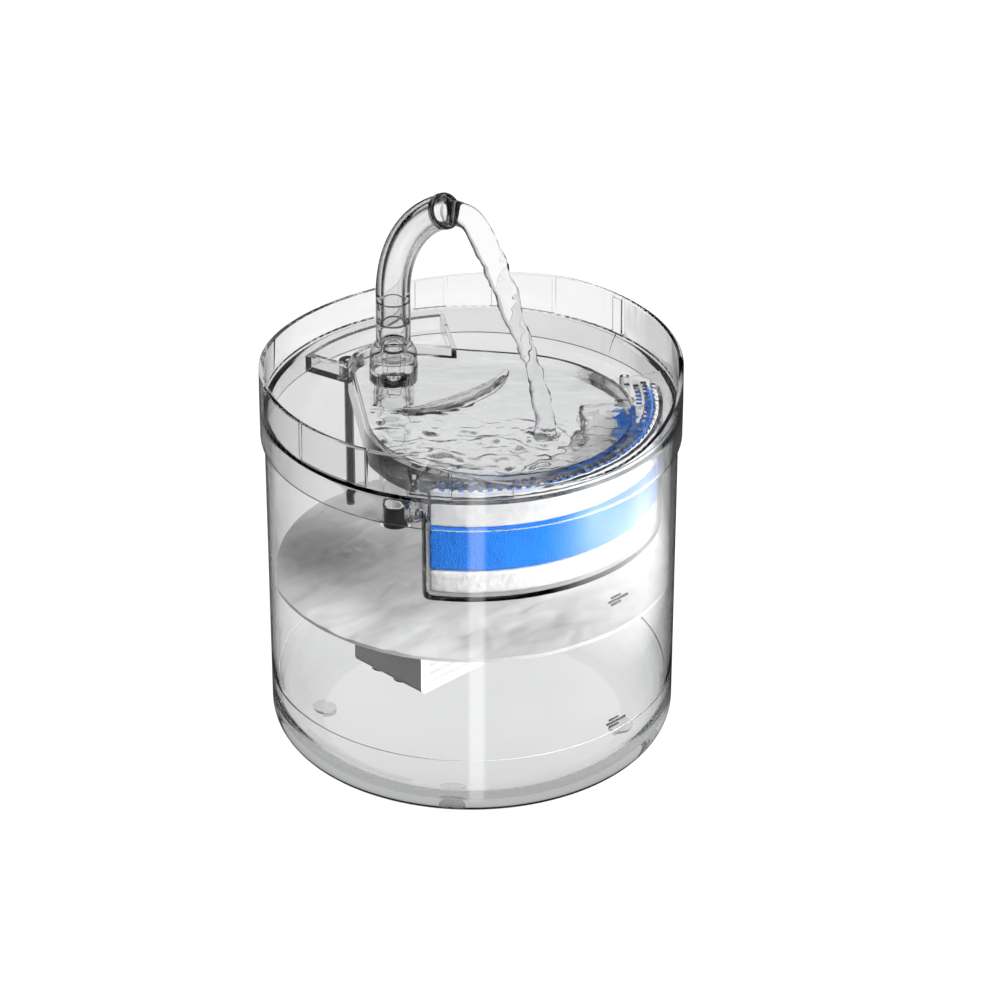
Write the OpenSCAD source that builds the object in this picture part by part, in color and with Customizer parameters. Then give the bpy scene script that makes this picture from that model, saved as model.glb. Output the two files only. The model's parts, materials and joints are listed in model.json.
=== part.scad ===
/* [Tank] */
// Outer radius of the tank where the wall meets the bottom corner
tank_low_r = 82.4; // [72:0.2:90]
// How much wider the tank is at its top edge, on each side
tank_flare = 1.4; // [0.5:0.1:2.5]
// Thickness of the tank wall
tank_wall = 2.4; // [1.6:0.1:2.8]
// Thickness of the tank floor
tank_floor = 3; // [2:0.1:5]
// Outer radius of the rounded bottom corner
tank_corner = 14.5; // [10:0.5:20]
// Height of the tank from its underside to its top edge
tank_h = 147.4; // [140:0.2:160]
// Height of the lower level mark above the tank's underside
low_mark_h = 34; // [30:1:40]
// Height of the upper level mark above the tank's underside
high_mark_h = 91; // [80:1:100]
// Length of the longest tick of a level mark
mark_w = 11; // [6:0.5:16]

/* [Feet] */
// Radius of one foot pad
foot_r = 5.2; // [4:0.1:7]
// Thickness of one foot pad
foot_t = 2; // [1.5:0.1:3]
// Depth of the pocket that holds a foot pad
foot_pocket = 0.8; // [0.4:0.1:1]
// Distance from a foot pad's edge to the start of the tank's rounded corner
foot_edge = 0.4; // [0.2:0.1:10]
// Turn of the foot pads from the diagonals
foot_turn = -7; // [-20:1:20]

/* [Tray] */
// Height of the tray's skirt below the deck's underside
skirt_drop = 11.6; // [6:0.2:16]
// Height of the side rims above the deck
rim_h = 17.6; // [16:0.2:22]
// Height of the front rim above the deck, at the middle of the scoop
front_rim_h = 2.6; // [2:0.2:8]
// Radius of the scoop that lowers the front rim
scoop_r = 170; // [140:1:220]
// Height of the back rim above the deck, at its lowest
back_rim_h = 12.2; // [10:0.2:15]
// Radius of the long scoop that lowers the back rim
back_scoop_r = 600; // [400:10:800]
// Turn of the two scoops from straight ahead
scoop_turn = -8; // [-20:1:20]
// Thickness of the tray's wall, deck and basin
tray_wall = 2; // [1.6:0.1:2.4]
// Outward lean of the wall from skirt edge to rim
wall_lean = 0.2; // [0:0.1:2]
// Thickness of the tray's skirt
skirt_t = 1.2; // [1:0.1:2]
// Clearance between skirt and tank
skirt_gap = 0.3; // [0.3:0.05:0.8]
// Gap between the deck and the tank's top edge
seat_gap = 0.2; // [0.1:0.05:0.4]

/* [Basin] */
// Distance from the tank's inner wall to the front of the drinking basin
basin_edge = 11; // [8:0.2:16]
// Distance of the basin's centre in front of the axis
basin_front = 16; // [14:0.5:17]
// Depth of the basin below the deck
basin_depth = 11.4; // [9:0.2:12]
// Radius of the basin's narrow end round the faucet
apex_r = 16.6; // [14:0.2:18]
// Height of the curved ridge on the basin floor
ridge_h = 5; // [2:0.2:6]
// Thickness of the ridge
ridge_w = 4; // [1.5:0.1:6]
// Outer radius of the ridge
ridge_r = 47; // [40:0.5:50]
// Distance of the ridge's centre to the right of the faucet
ridge_side = 12; // [0:0.5:16]
// Distance of the ridge's centre behind the faucet
ridge_back = 9; // [0:0.5:14]
// Direction of the ridge's middle from its centre, from straight ahead
ridge_turn = -6; // [-20:1:20]
// Half angle of the ridge
ridge_half = 37; // [30:1:40]

/* [Recess] */
// Depth of the back recess below the deck
recess_depth = 7; // [5:0.5:9]
// Half angle of the back recess
recess_half = 24; // [20:1:30]
// Direction of the recess's middle from straight back
recess_turn = -11; // [-16:1:0]
// Distance from the tank's inner wall to the recess
recess_edge = 3; // [1:0.1:4]

/* [Drain slots] */
// Length of one drain slot, outwards
slot_l = 2.3; // [1.8:0.1:2.4]
// Width of one drain slot
slot_w = 1.8; // [1:0.1:2]
// Pitch of the slot rows, outwards
row_pitch = 3.4; // [3.2:0.1:4]
// Number of slot rows
slot_rows = 4; // [1:1:4]
// Distance from the tank's inner wall to the middle of the outer row
outer_row_edge = 5.6; // [3.4:0.1:7]
// Angle between neighbouring slots
slot_step = 2.9; // [2.7:0.1:6]
// Half angle of the drain area
drain_half = 58; // [30:1:60]

/* [Faucet] */
// Distance from the tank's inner wall to the riser and the faucet
riser_edge = 35; // [31:0.2:36]
// Outer radius of the faucet tube
neck_r = 7.1; // [6.2:0.1:7.5]
// Bore radius of the faucet tube
neck_bore_r = 5.2; // [5.1:0.05:5.4]
// Radius of the gooseneck bend at its centre line
bend_r = 54; // [45:1:60]
// Angle that the gooseneck turns through
bend_angle = 62; // [50:1:85]
// Height of the bend's start above the deck
bend_up = 31; // [30.5:0.5:50]
// Outer radius of the cup at the faucet's foot
cup_r = 9.8; // [9.4:0.1:10.5]
// Height of the cup
cup_h = 21; // [19:0.5:24]
// Height of the stem above the cup
stem_h = 19; // [14:0.5:20]
// Length of the neck's plug inside the stem
plug_l = 10; // [6:0.5:12]
// Outer radius of the fixed spigot
spigot_r = 4.5; // [4.2:0.1:4.6]
// Bore radius of the fixed spigot
spigot_bore_r = 2.6; // [2:0.1:2.8]
// Height of the spigot above the basin floor
spigot_h = 21; // [19.5:0.5:24]
// Running clearance between spigot and stem
spin_gap = 0.08; // [0.05:0.01:0.1]

/* [Riser] */
// Outer radius of the riser tube under the tray
riser_r = 6.2; // [6:0.1:7]
// Bore radius of the riser tube
riser_bore_r = 4.8; // [4.7:0.1:5]
// Length of the riser tube below the basin
riser_l = 60; // [50:1:64]
// Length of the socket that holds the riser tube
socket_l = 10; // [6:0.5:14]
// Outer radius of the lead guide tube
guide_r = 1.9; // [1.8:0.1:2.4]
// Bore radius of the lead guide tube
guide_bore_r = 1.2; // [1:0.1:1.4]
// Length of the lead guide tube
guide_l = 62; // [40:1:66]

/* [Filter] */
// Clearance between the filter box and the tank's inner wall
box_gap = 2.6; // [0.5:0.1:3]
// Width of the filter box, outwards
box_w = 33.4; // [28:0.2:38]
// Half angle of the filter box
box_half = 60; // [40:1:64]
// Thickness of the filter box's walls
box_wall = 1.6; // [1.2:0.1:2]
// Height of the filter box below the basin
box_h = 35; // [28:0.5:38]
// Thickness of the lower cotton pad
low_cotton_t = 10.6; // [4:0.2:12]
// Gap between a pad and what it lies against
pad_gap = 0.3; // [0.2:0.05:0.5]
// Space for the pads inside the box's raised outer lip
lip_t = 3.4; // [2.6:0.1:3.6]
// Thickness of the upper cotton strip, outwards
top_cotton_t = 1.5; // [1:0.1:1.8]
// Height of the upper cotton strip
top_cotton_h = 14; // [8:0.5:16]
// Width of the filter medium pack behind the sponge
pack_w = 12; // [8:0.5:14]
// Length of one slot in the filter box's floor
floor_slot_l = 8; // [5:0.5:9]
// Width of one slot in the filter box's floor
floor_slot_w = 2; // [1:0.1:3]
// Distance of the two slot rows from the box's inner wall
floor_slot_in = 7; // [3:0.5:8]
// Radius of the two pegs that hold the filter box
peg_r = 2; // [1.6:0.1:2.4]
// Length of the pegs below the deck
peg_l = 17; // [15:0.5:19]

/* [Pump] */
// Size of the pump from side to side
pump_w = 38; // [34:0.5:42]
// Size of the pump from front to back
pump_d = 40; // [38:0.5:42]
// Height of the pump's housing
pump_h = 34; // [32:0.5:40]
// Distance of the pump's left side from the riser
pump_left = 8; // [7:0.5:8]
// Distance of the pump's back behind the riser
pump_behind = 17; // [15:0.5:18]
// Wall thickness of the pump housing
pump_wall = 2; // [1.6:0.1:2.4]
// Corner radius of the pump housing
pump_corner = 3; // [2:0.5:5]
// Height of the suction cups under the pump
suction_h = 2.4; // [1.5:0.1:4]
// Radius of the suction cups
suction_r = 4.5; // [3:0.1:5]
// Distance from a suction cup's edge to the side of the pump
suction_edge = 3.5; // [3:0.1:8]
// Depth of the front intake cover
intake_d = 11; // [9:0.5:12]
// Radius of the impeller chamber
volute_r = 12.5; // [11:0.5:13]
// Depth of the impeller chamber
volute_d = 14; // [13:0.5:15]
// Radius of the rotor well
well_r = 6.5; // [6:0.1:7]
// Depth of the rotor well
well_d = 9; // [8:0.5:10]
// Radius of the rotor magnet
magnet_r = 6; // [5:0.1:6]
// Radius of the impeller
impeller_r = 10.5; // [8:0.5:11]
// Radius of the rotor shaft
shaft_r = 1; // [0.8:0.1:1.2]
// Running clearance of the rotor on its shaft
rotor_gap = 0.06; // [0.04:0.01:0.1]
// Outer radius of the outlet nozzle
nozzle_r = 4.2; // [4:0.1:4.4]
// Bore radius of the outlet nozzle
nozzle_bore_r = 3; // [2.5:0.1:3.2]
// Height of the outlet nozzle
nozzle_h = 46; // [42:0.5:50]
// Length of the rubber sleeve on the nozzle
sleeve_l = 17; // [12:0.5:20]
// Thickness of the rubber sleeve
sleeve_t = 0.45; // [0.3:0.05:0.45]

/* [Hidden] */
$fn = 96;

eps = 0.01;
front = -90;
tank_z = foot_t - foot_pocket;
tank_top_r = tank_low_r + tank_flare;
tank_in_r = tank_low_r - tank_wall;
foot_ring_r = tank_low_r - tank_corner - foot_edge - foot_r;
floor_z = tank_z + tank_floor;
tank_top = tank_z + tank_h;
deck_under = tank_top + seat_gap;
deck_z = deck_under + tray_wall;
basin_z = deck_z - basin_depth;
basin_under = basin_z - tray_wall;
recess_z = deck_z - recess_depth;
rim_z = deck_z + rim_h;
skirt_z = deck_under - skirt_drop;
skirt_in_r = tank_top_r + skirt_gap;
skirt_out_r = skirt_in_r + skirt_t;
rim_out_r = skirt_out_r + wall_lean;
rim_in_r = rim_out_r - tray_wall;
basin_y = -basin_front;
basin_r = tank_in_r - basin_edge - basin_front;
recess_r = tank_in_r - recess_edge;
outer_row_r = tank_in_r - outer_row_edge;
riser_back = tank_in_r - riser_edge;

// Pump lines: the rotor turns about an axis along Y
pump_x0 = -pump_left;
pump_x1 = pump_x0 + pump_w;
pump_z0 = floor_z + suction_h;
pump_top = pump_z0 + pump_h;
pump_y1 = riser_back + pump_behind;
pump_y0 = pump_y1 - pump_d;
house_y0 = pump_y0 + intake_d;
cover_t = 2;
volute_y0 = house_y0 + cover_t;
volute_y1 = volute_y0 + volute_d;
rotor_x = pump_x0 + pump_w / 2;
rotor_z = pump_z0 + pump_h / 2 - 0.5;
well_y1 = volute_y1 + well_d;
well_wall = 1.2;
plate_t = 2;
nozzle_z1 = pump_top + nozzle_h;

// Filter lines
box_r = tank_in_r - box_gap;
box_in_r = box_r - box_w;
box_top = basin_under - 1;
box_z0 = box_top - box_h;
box_lip_top = deck_under - 0.5;
pad_r = box_r - box_wall - pad_gap;
pad_in_r = box_in_r + box_wall + pad_gap;
pad_half = box_half - 2;
pad_z0 = box_z0 + box_wall + pad_gap;
sponge_z0 = pad_z0 + low_cotton_t + pad_gap;
top_cotton_z0 = box_lip_top - top_cotton_h;
sponge_top = top_cotton_z0 - pad_gap;
peg_ring_r = box_r - 11.4;
peg_half = box_half + 4.6;
ear_t = 5;

// Places of the raised lands of the tray wall, in degrees
wall_lands = [[-3, 1.5], [21, 40], [52.6, 62], [172, 196], [219.5, 237]];
land_t = 1;
land_h = rim_h - tray_wall / 2 - 0.4;

// A ring sector centred on the angle mid
module ring_sector(r0, r1, z0, z1, mid, half) {
    rotate([0, 0, mid - half])
        rotate_extrude(angle = 2 * half)
            translate([r0, z0])
                square([r1 - r0, z1 - z0]);
}

// Half section of a cup with a rounded bottom corner and a leaning wall
module cup_section(r_low, r_top, z_low, z_top, corner) {
    translate([0, z_low])
        square([r_low - corner, corner + eps]);
    translate([r_low - corner, z_low + corner])
        circle(corner);
    polygon([[0, z_low + corner], [r_low, z_low + corner], [r_top, z_top], [0, z_top]]);
}

// A rectangle with four round corners, from its lowest corner
module round_rect(w, h, r) {
    translate([r, 0])
        square([w - 2 * r, h]);
    translate([0, r])
        square([w, h - 2 * r]);
    for (x = [r, w - r], y = [r, h - r])
        translate([x, y])
            circle(r);
}

// A tube along Z
module tube(r_out, r_in, z0, z1) {
    translate([0, 0, z0])
        difference() {
            cylinder(r = r_out, h = z1 - z0);
            translate([0, 0, -1])
                cylinder(r = r_in, h = z1 - z0 + 2);
        }
}

// A rod along Y on the rotor's axis
module rotor_rod(r, y0, y1) {
    translate([rotor_x, y0, rotor_z])
        rotate([-90, 0, 0])
            cylinder(r = r, h = y1 - y0);
}

// Outline of the basin: a circle drawn out to a narrow round end at the faucet
module basin_outline(extra) {
    big_r = basin_r + extra;
    small_r = apex_r + extra;
    reach = riser_back - basin_y;
    lean = asin((big_r - small_r) / reach);
    // the sides run a little inside the circles' common tangents, so that they meet at clean edges
    tuck = 0.05;
    big_x = (big_r - tuck) * cos(lean);
    big_y = basin_y + (big_r - tuck) * sin(lean);
    small_x = (small_r - tuck) * cos(lean);
    small_y = riser_back + (small_r - tuck) * sin(lean);
    translate([0, basin_y])
        circle(big_r);
    translate([0, riser_back])
        circle(small_r);
    polygon([[-big_x, big_y], [0, basin_y], [big_x, big_y], [small_x, small_y], [-small_x, small_y]]);
}

// Outline of the recess behind the faucet, wider by extra on each side
module recess_outline(extra) {
    wedge_y = -extra / sin(recess_half);
    reach = 2 * recess_r;
    rotate(recess_turn)
        intersection() {
            circle(recess_r + extra);
            polygon([[0, wedge_y],
                [reach * sin(recess_half), wedge_y + reach * cos(recess_half)],
                [-reach * sin(recess_half), wedge_y + reach * cos(recess_half)]]);
        }
}

// One level mark: short ticks above and below a long one
module level_mark(height) {
    mark_t = 0.4;
    mark_h = 0.8;
    z = tank_z + height;
    wall_r = tank_low_r + (tank_top_r - tank_low_r) * (height - tank_corner) / (tank_h - tank_corner);
    for (row = [-1, 0, 1])
        translate([-mark_w / (2 + abs(row) * 2), -wall_r - mark_t, z + row * 2 * mark_h - mark_h / 2])
            cube([mark_w / (1 + abs(row)), mark_t + 1, mark_h]);
}

module tank() {
    color([0.85, 0.9, 0.93, 0.35])
        difference() {
            union() {
                rotate_extrude()
                    cup_section(tank_low_r, tank_top_r, tank_z, tank_top, tank_corner);
                level_mark(low_mark_h);
                level_mark(high_mark_h);
            }
            rotate_extrude()
                cup_section(tank_low_r - tank_wall, tank_top_r - tank_wall, floor_z, tank_top + eps,
                    tank_corner - tank_wall);
            for (corner = [0:3])
                rotate([0, 0, 45 + foot_turn + 90 * corner])
                    translate([foot_ring_r, 0, tank_z - 1])
                        cylinder(r = foot_r + 0.1, h = foot_pocket + 1);
        }
}

module foot_pads() {
    color([0.8, 0.82, 0.84])
        for (corner = [0:3])
            rotate([0, 0, 45 + foot_turn + 90 * corner])
                translate([foot_ring_r, 0, 0])
                    cylinder(r = foot_r, h = foot_t);
}

// Half section of the tray's skirt and wall with a round lip
module wall_section() {
    lip_r = tray_wall / 2;
    polygon([[skirt_in_r, skirt_z], [skirt_out_r, skirt_z], [rim_out_r, deck_z], [rim_out_r, rim_z - lip_r],
        [rim_in_r, rim_z - lip_r], [skirt_in_r, deck_z], [skirt_in_r, deck_under]]);
    translate([rim_out_r - lip_r, rim_z - lip_r])
        circle(lip_r);
}

// The drain slots, in rows that follow the wall and stop short of the basin
module drain_slots() {
    slot_count = floor(drain_half / slot_step);
    keep_off = basin_r + tray_wall + slot_l / 2 + 0.6;
    for (row = [0 : slot_rows - 1], i = [-slot_count : slot_count]) {
        r = outer_row_r - row * row_pitch;
        angle = (i + (row % 2) / 2) * slot_step;
        gap_x = r * sin(angle);
        gap_y = -r * cos(angle) - basin_y;
        if (norm([gap_x, gap_y]) > keep_off && abs(angle) < drain_half)
            rotate([0, 0, front + angle])
                translate([r - slot_l / 2, -slot_w / 2, deck_under - 1])
                    cube([slot_l, slot_w, tray_wall + 2]);
    }
}

module peg_places() {
    for (side = [-1, 1])
        rotate([0, 0, front + side * peg_half])
            translate([peg_ring_r, 0, 0])
                children();
}

// The tray's skirt and wall, scooped low at the front and a little lower at the back
module tray_rim() {
    color([0.85, 0.9, 0.93, 0.35])
        difference() {
            union() {
                rotate_extrude()
                    wall_section();
                for (land = wall_lands)
                    ring_sector(skirt_in_r - land_t, skirt_in_r + 1, deck_z + seat_gap, deck_z + land_h,
                        (land[0] + land[1]) / 2, (land[1] - land[0]) / 2);
            }
            rotate([0, 0, scoop_turn]) {
                translate([0, -tank_top_r / 4, deck_z + front_rim_h + scoop_r])
                    rotate([90, 0, 0])
                        cylinder(r = scoop_r, h = tank_top_r, $fn = 180);
                translate([0, tank_top_r / 4, deck_z + back_rim_h + back_scoop_r])
                    rotate([-90, 0, 0])
                        cylinder(r = back_scoop_r, h = tank_top_r, $fn = 360);
            }
        }
}

// The tray's deck with the basin, the recess and the drain slots
module tray() {
    color([0.85, 0.9, 0.93, 0.35])
        difference() {
            union() {
                difference() {
                    union() {
                        translate([0, 0, deck_under])
                            cylinder(r = skirt_in_r, h = tray_wall);
                        translate([0, 0, basin_under])
                            linear_extrude(deck_z - basin_under)
                                basin_outline(tray_wall);
                        translate([0, 0, recess_z - tray_wall])
                            linear_extrude(recess_depth + tray_wall)
                                recess_outline(tray_wall);
                    }
                    translate([0, 0, basin_z])
                        linear_extrude(basin_depth + 1)
                            basin_outline(0);
                    translate([0, 0, recess_z])
                        linear_extrude(recess_depth + 1)
                            difference() {
                                recess_outline(0);
                                basin_outline(tray_wall);
                            }
                    drain_slots();
                }
                translate([0, riser_back, basin_under - socket_l])
                    cylinder(r = riser_r + 0.1 + tray_wall, h = socket_l + eps);
                lead_place()
                    translate([0, 0, recess_z - tray_wall - 5])
                        cylinder(r = guide_r + 1.7, h = 5 + eps);
                peg_places()
                    translate([0, 0, deck_under - peg_l])
                        cylinder(r = peg_r, h = peg_l + eps);
                translate([ridge_side, riser_back + ridge_back, 0])
                    ring_sector(ridge_r - ridge_w, ridge_r, basin_z - eps, basin_z + ridge_h,
                        front + ridge_turn, ridge_half);
            }
            translate([0, riser_back, basin_under - socket_l - 1])
                cylinder(r = riser_r + 0.1, h = socket_l + 1);
            translate([0, riser_back, basin_under - 1])
                cylinder(r = spigot_r + 0.1, h = tray_wall + 2);
            lead_place()
                translate([0, 0, recess_z - tray_wall - 6])
                    cylinder(r = guide_r + 0.1, h = 6);
            lead_place()
                translate([0, 0, recess_z - tray_wall - 1])
                    cylinder(r = guide_r + 0.9, h = tray_wall + 2);
        }
}

module lead_place() {
    translate([-4, riser_back + apex_r + tray_wall + guide_r + 2, 0])
        children();
}

module riser_spigot() {
    flange_t = 2.2;
    flange_r = 8.2;
    groove_z = basin_z + spigot_h - 3;
    color([0.85, 0.9, 0.93, 0.35])
        translate([0, riser_back, 0])
            difference() {
                union() {
                    tube(spigot_r, spigot_bore_r, basin_under - 6, basin_z + spigot_h);
                    tube(flange_r, spigot_bore_r, basin_z, basin_z + flange_t);
                }
                tube(spigot_r + 1, spigot_r - 1.08, groove_z - 0.6, groove_z + 0.6);
            }
}

module spigot_ring() {
    ring_r = 0.52;
    color([0.1, 0.1, 0.11])
        translate([0, riser_back, basin_z + spigot_h - 3])
            rotate_extrude()
                translate([spigot_r - ring_r - 0.02, 0])
                    circle(ring_r);
}

module riser_tube() {
    color([0.85, 0.9, 0.93, 0.35])
        translate([0, riser_back, 0])
            tube(riser_r, riser_bore_r, basin_under - riser_l, basin_under);
}

module lead_guide() {
    color([0.85, 0.9, 0.93, 0.35])
        lead_place()
            tube(guide_r, guide_bore_r, recess_z - tray_wall - guide_l, recess_z - tray_wall - 1);
}

module lead_grommet() {
    grommet_r = guide_r + 2.1;
    color([0.8, 0.82, 0.84])
        lead_place() {
            tube(guide_r + 0.8, guide_bore_r, recess_z - tray_wall - 1, recess_z);
            tube(grommet_r, guide_bore_r, recess_z, recess_z + 1.6);
        }
}

module faucet_stem() {
    cup_z = basin_z + 0.5;
    shoulder_z = cup_z + cup_h - 5;
    stem_top = cup_z + cup_h + stem_h;
    cup_wall = 1.2;
    color([0.85, 0.9, 0.93, 0.35])
        translate([0, riser_back, 0])
            difference() {
                union() {
                    translate([0, 0, cup_z])
                        cylinder(r = cup_r, h = cup_h - 5 + eps);
                    translate([0, 0, shoulder_z])
                        cylinder(r1 = cup_r, r2 = neck_r, h = 5);
                    translate([0, 0, shoulder_z])
                        cylinder(r = neck_r, h = stem_top - shoulder_z);
                }
                translate([0, 0, cup_z - 1])
                    cylinder(r = cup_r - cup_wall, h = cup_h - 6 + 1);
                translate([0, 0, cup_z])
                    cylinder(r = spigot_r + spin_gap, h = cup_h + 1);
                translate([0, 0, cup_z + cup_h])
                    cylinder(r = neck_bore_r, h = stem_h + 1);
            }
}

module faucet_neck() {
    stem_top = basin_z + 0.5 + cup_h + stem_h;
    bend_z = deck_z + bend_up;
    plug_gap = 0.05;
    plug_bore_r = neck_bore_r - 1.1;
    color([0.85, 0.9, 0.93, 0.35])
        translate([0, riser_back, 0]) {
            tube(neck_bore_r - plug_gap, plug_bore_r, stem_top - plug_l, stem_top + eps);
            tube(neck_r, plug_bore_r, stem_top, bend_z);
            translate([0, -bend_r, bend_z])
                rotate([90, 0, 90])
                    rotate_extrude(angle = bend_angle)
                        translate([bend_r, 0])
                            difference() {
                                circle(neck_r);
                                circle(plug_bore_r);
                            }
        }
}

module spout_ring() {
    ring_l = 3;
    bend_z = deck_z + bend_up;
    color([0.25, 0.26, 0.27])
        translate([0, riser_back - bend_r, bend_z])
            rotate([bend_angle, 0, 0])
                translate([0, bend_r, 0])
                    difference() {
                        cylinder(r = neck_r + 0.4, h = ring_l);
                        translate([0, 0, -1])
                            cylinder(r = neck_bore_r - 1.1, h = ring_l + 2);
                    }
}

module filter_box() {
    floor_slots = 8;
    floor_slot_step = 13;
    color([0.85, 0.9, 0.93, 0.35])
        difference() {
            union() {
                ring_sector(box_in_r, box_r, box_z0, box_top, front, box_half);
                ring_sector(pad_r - lip_t - pad_gap, box_r, box_top - eps, box_lip_top, front, box_half);
                peg_places()
                    translate([0, 0, box_top - ear_t])
                        cylinder(r = peg_r + 2, h = ear_t);
                for (side = [-1, 1])
                    ring_sector(peg_ring_r - 2, peg_ring_r + 2, box_top - ear_t, box_top,
                        front + side * (box_half + peg_half) / 2, (peg_half - box_half) / 2 + 0.4);
            }
            ring_sector(box_in_r + box_wall, box_r - box_wall, box_z0 + box_wall, box_top + 1, front,
                box_half - 1.4);
            ring_sector(pad_r - lip_t - pad_gap - 1, box_r - box_wall, box_top - 1, box_lip_top + 1,
                front, box_half - 1.4);
            for (i = [0 : floor_slots - 1], row = [0, 1])
                rotate([0, 0, front + (i - (floor_slots - 1) / 2) * floor_slot_step])
                    translate([box_in_r + floor_slot_in + row * floor_slot_l * 1.5, -floor_slot_w / 2,
                        box_z0 - 1])
                        cube([floor_slot_l, floor_slot_w, box_wall + 2]);
            peg_places()
                translate([0, 0, box_z0])
                    cylinder(r = peg_r + 0.1, h = box_h + 1);
        }
}

module lower_cotton() {
    color([0.97, 0.97, 0.97])
        ring_sector(pad_in_r, pad_r, pad_z0, pad_z0 + low_cotton_t, front, pad_half);
}

module blue_sponge() {
    color([0.1, 0.42, 0.95]) {
        ring_sector(pad_in_r + pack_w + pad_gap, pad_r, sponge_z0, sponge_top, front, pad_half);
        ring_sector(pad_r - lip_t, pad_r - top_cotton_t - pad_gap, sponge_top - eps, box_lip_top,
            front, pad_half);
    }
}

module media_pack() {
    color([0.93, 0.94, 0.95])
        ring_sector(pad_in_r, pad_in_r + pack_w, sponge_z0, sponge_top, front, pad_half);
}

module upper_cotton() {
    color([0.97, 0.97, 0.97])
        ring_sector(pad_r - top_cotton_t, pad_r, top_cotton_z0, box_lip_top, front, pad_half);
}

// The pump's rectangular block between two places along Y
module pump_block(y0, y1, inset) {
    translate([pump_x0 + inset, y1, pump_z0 + inset])
        rotate([90, 0, 0])
            linear_extrude(y1 - y0)
                round_rect(pump_w - 2 * inset, pump_h - 2 * inset, pump_corner - inset / 2);
}

module pump_housing() {
    color([0.95, 0.96, 0.97])
        difference() {
            union() {
                difference() {
                    pump_block(house_y0, pump_y1, 0);
                    pump_block(volute_y1 + well_wall, pump_y1 + 1, pump_wall);
                }
                rotor_rod(well_r + well_wall, volute_y1, well_y1 + well_wall);
            }
            rotor_rod(volute_r, house_y0 - 1, volute_y1);
            rotor_rod(well_r, volute_y1 - 1, well_y1);
            translate([0, riser_back, rotor_z])
                cylinder(r = nozzle_bore_r, h = pump_h);
        }
}

module pump_back_plate() {
    color([0.93, 0.94, 0.95])
        difference() {
            pump_block(pump_y1 - plate_t, pump_y1, pump_wall + 0.15);
            translate([pump_x1 - 10, pump_y1 + 1, pump_z0 + 8])
                rotate([90, 0, 0])
                    cylinder(r = 2.5, h = plate_t + 2);
        }
}

module lead_gland() {
    gland_l = 5;
    color([0.8, 0.82, 0.84])
        translate([pump_x1 - 10, pump_y1 + gland_l, pump_z0 + 8])
            rotate([90, 0, 0])
                difference() {
                    union() {
                        cylinder(r1 = 2.2, r2 = 3.4, h = gland_l);
                        cylinder(r = 2.4, h = gland_l + plate_t);
                    }
                    translate([0, 0, -1])
                        cylinder(r = guide_bore_r, h = gland_l + plate_t + 2);
                }
}

module stator_core() {
    core_y0 = volute_y1 + well_wall + 0.3;
    core_y1 = pump_y1 - plate_t - 0.3;
    core_in = pump_wall + 0.3;
    color([0.55, 0.56, 0.58])
        difference() {
            pump_block(core_y0, core_y1, core_in);
            rotor_rod(well_r + well_wall + 0.2, core_y0 - 1, core_y1 + 1);
            translate([pump_x0 + 5, core_y0 - 1, pump_z0 + 9])
                cube([5.4, core_y1 - core_y0 + 2, 16]);
        }
}

module stator_coil() {
    core_y0 = volute_y1 + well_wall + 0.3;
    core_y1 = pump_y1 - plate_t - 0.3;
    color([0.75, 0.4, 0.2])
        translate([pump_x0 + 5.2, core_y0 + 0.3, pump_z0 + 9.2])
            cube([5, core_y1 - core_y0 - 0.6, 15.6]);
}

module suction_cups() {
    inset = suction_r + suction_edge;
    color([0.85, 0.86, 0.88])
        for (x = [pump_x0 + inset, pump_x1 - inset], y = [house_y0 + inset, pump_y1 - inset])
            translate([x, y, floor_z]) {
                cylinder(r1 = suction_r, r2 = suction_r / 2, h = suction_h - 1);
                cylinder(r = suction_r / 2, h = suction_h);
            }
}

module outlet_nozzle() {
    color([0.95, 0.96, 0.97])
        translate([0, riser_back, 0]) {
            tube(nozzle_r, nozzle_bore_r, pump_top, nozzle_z1);
            tube(nozzle_r + 2.4, nozzle_bore_r, pump_top, pump_top + 2);
        }
}

module outlet_sleeve() {
    color([0.06, 0.06, 0.07])
        translate([0, riser_back, 0])
            tube(nozzle_r + sleeve_t, nozzle_r, nozzle_z1 - sleeve_l, nozzle_z1);
}

module volute_cover() {
    color([0.93, 0.94, 0.95])
        difference() {
            rotor_rod(volute_r - 0.1, house_y0, volute_y0);
            for (spoke = [0:3])
                translate([rotor_x, house_y0 - 1, rotor_z])
                    rotate([0, 45 + 90 * spoke, 0])
                        translate([4.6, 0, 0])
                            rotate([-90, 0, 0])
                                cylinder(r = 2, h = cover_t + 2);
            rotor_rod(shaft_r + 1, house_y0 + 0.8, volute_y0 + 1);
        }
}

module rotor_shaft() {
    color([0.9, 0.9, 0.88])
        rotor_rod(shaft_r, volute_y0 - 0.8, well_y1 - 0.2);
}

module shaft_bushes() {
    bush_t = 1;
    color([0.15, 0.15, 0.16])
        for (y = [volute_y0 - bush_t - 0.1, well_y1 - bush_t - 0.1])
            difference() {
                rotor_rod(shaft_r + 0.95, y, y + bush_t);
                rotor_rod(shaft_r, y - 1, y + bush_t + 1);
            }
}

module rotor_magnet() {
    color([0.2, 0.2, 0.22])
        difference() {
            rotor_rod(magnet_r, volute_y1 - 4, well_y1 - 1.5);
            rotor_rod(shaft_r + rotor_gap, volute_y1 - 5, well_y1);
        }
}

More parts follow.
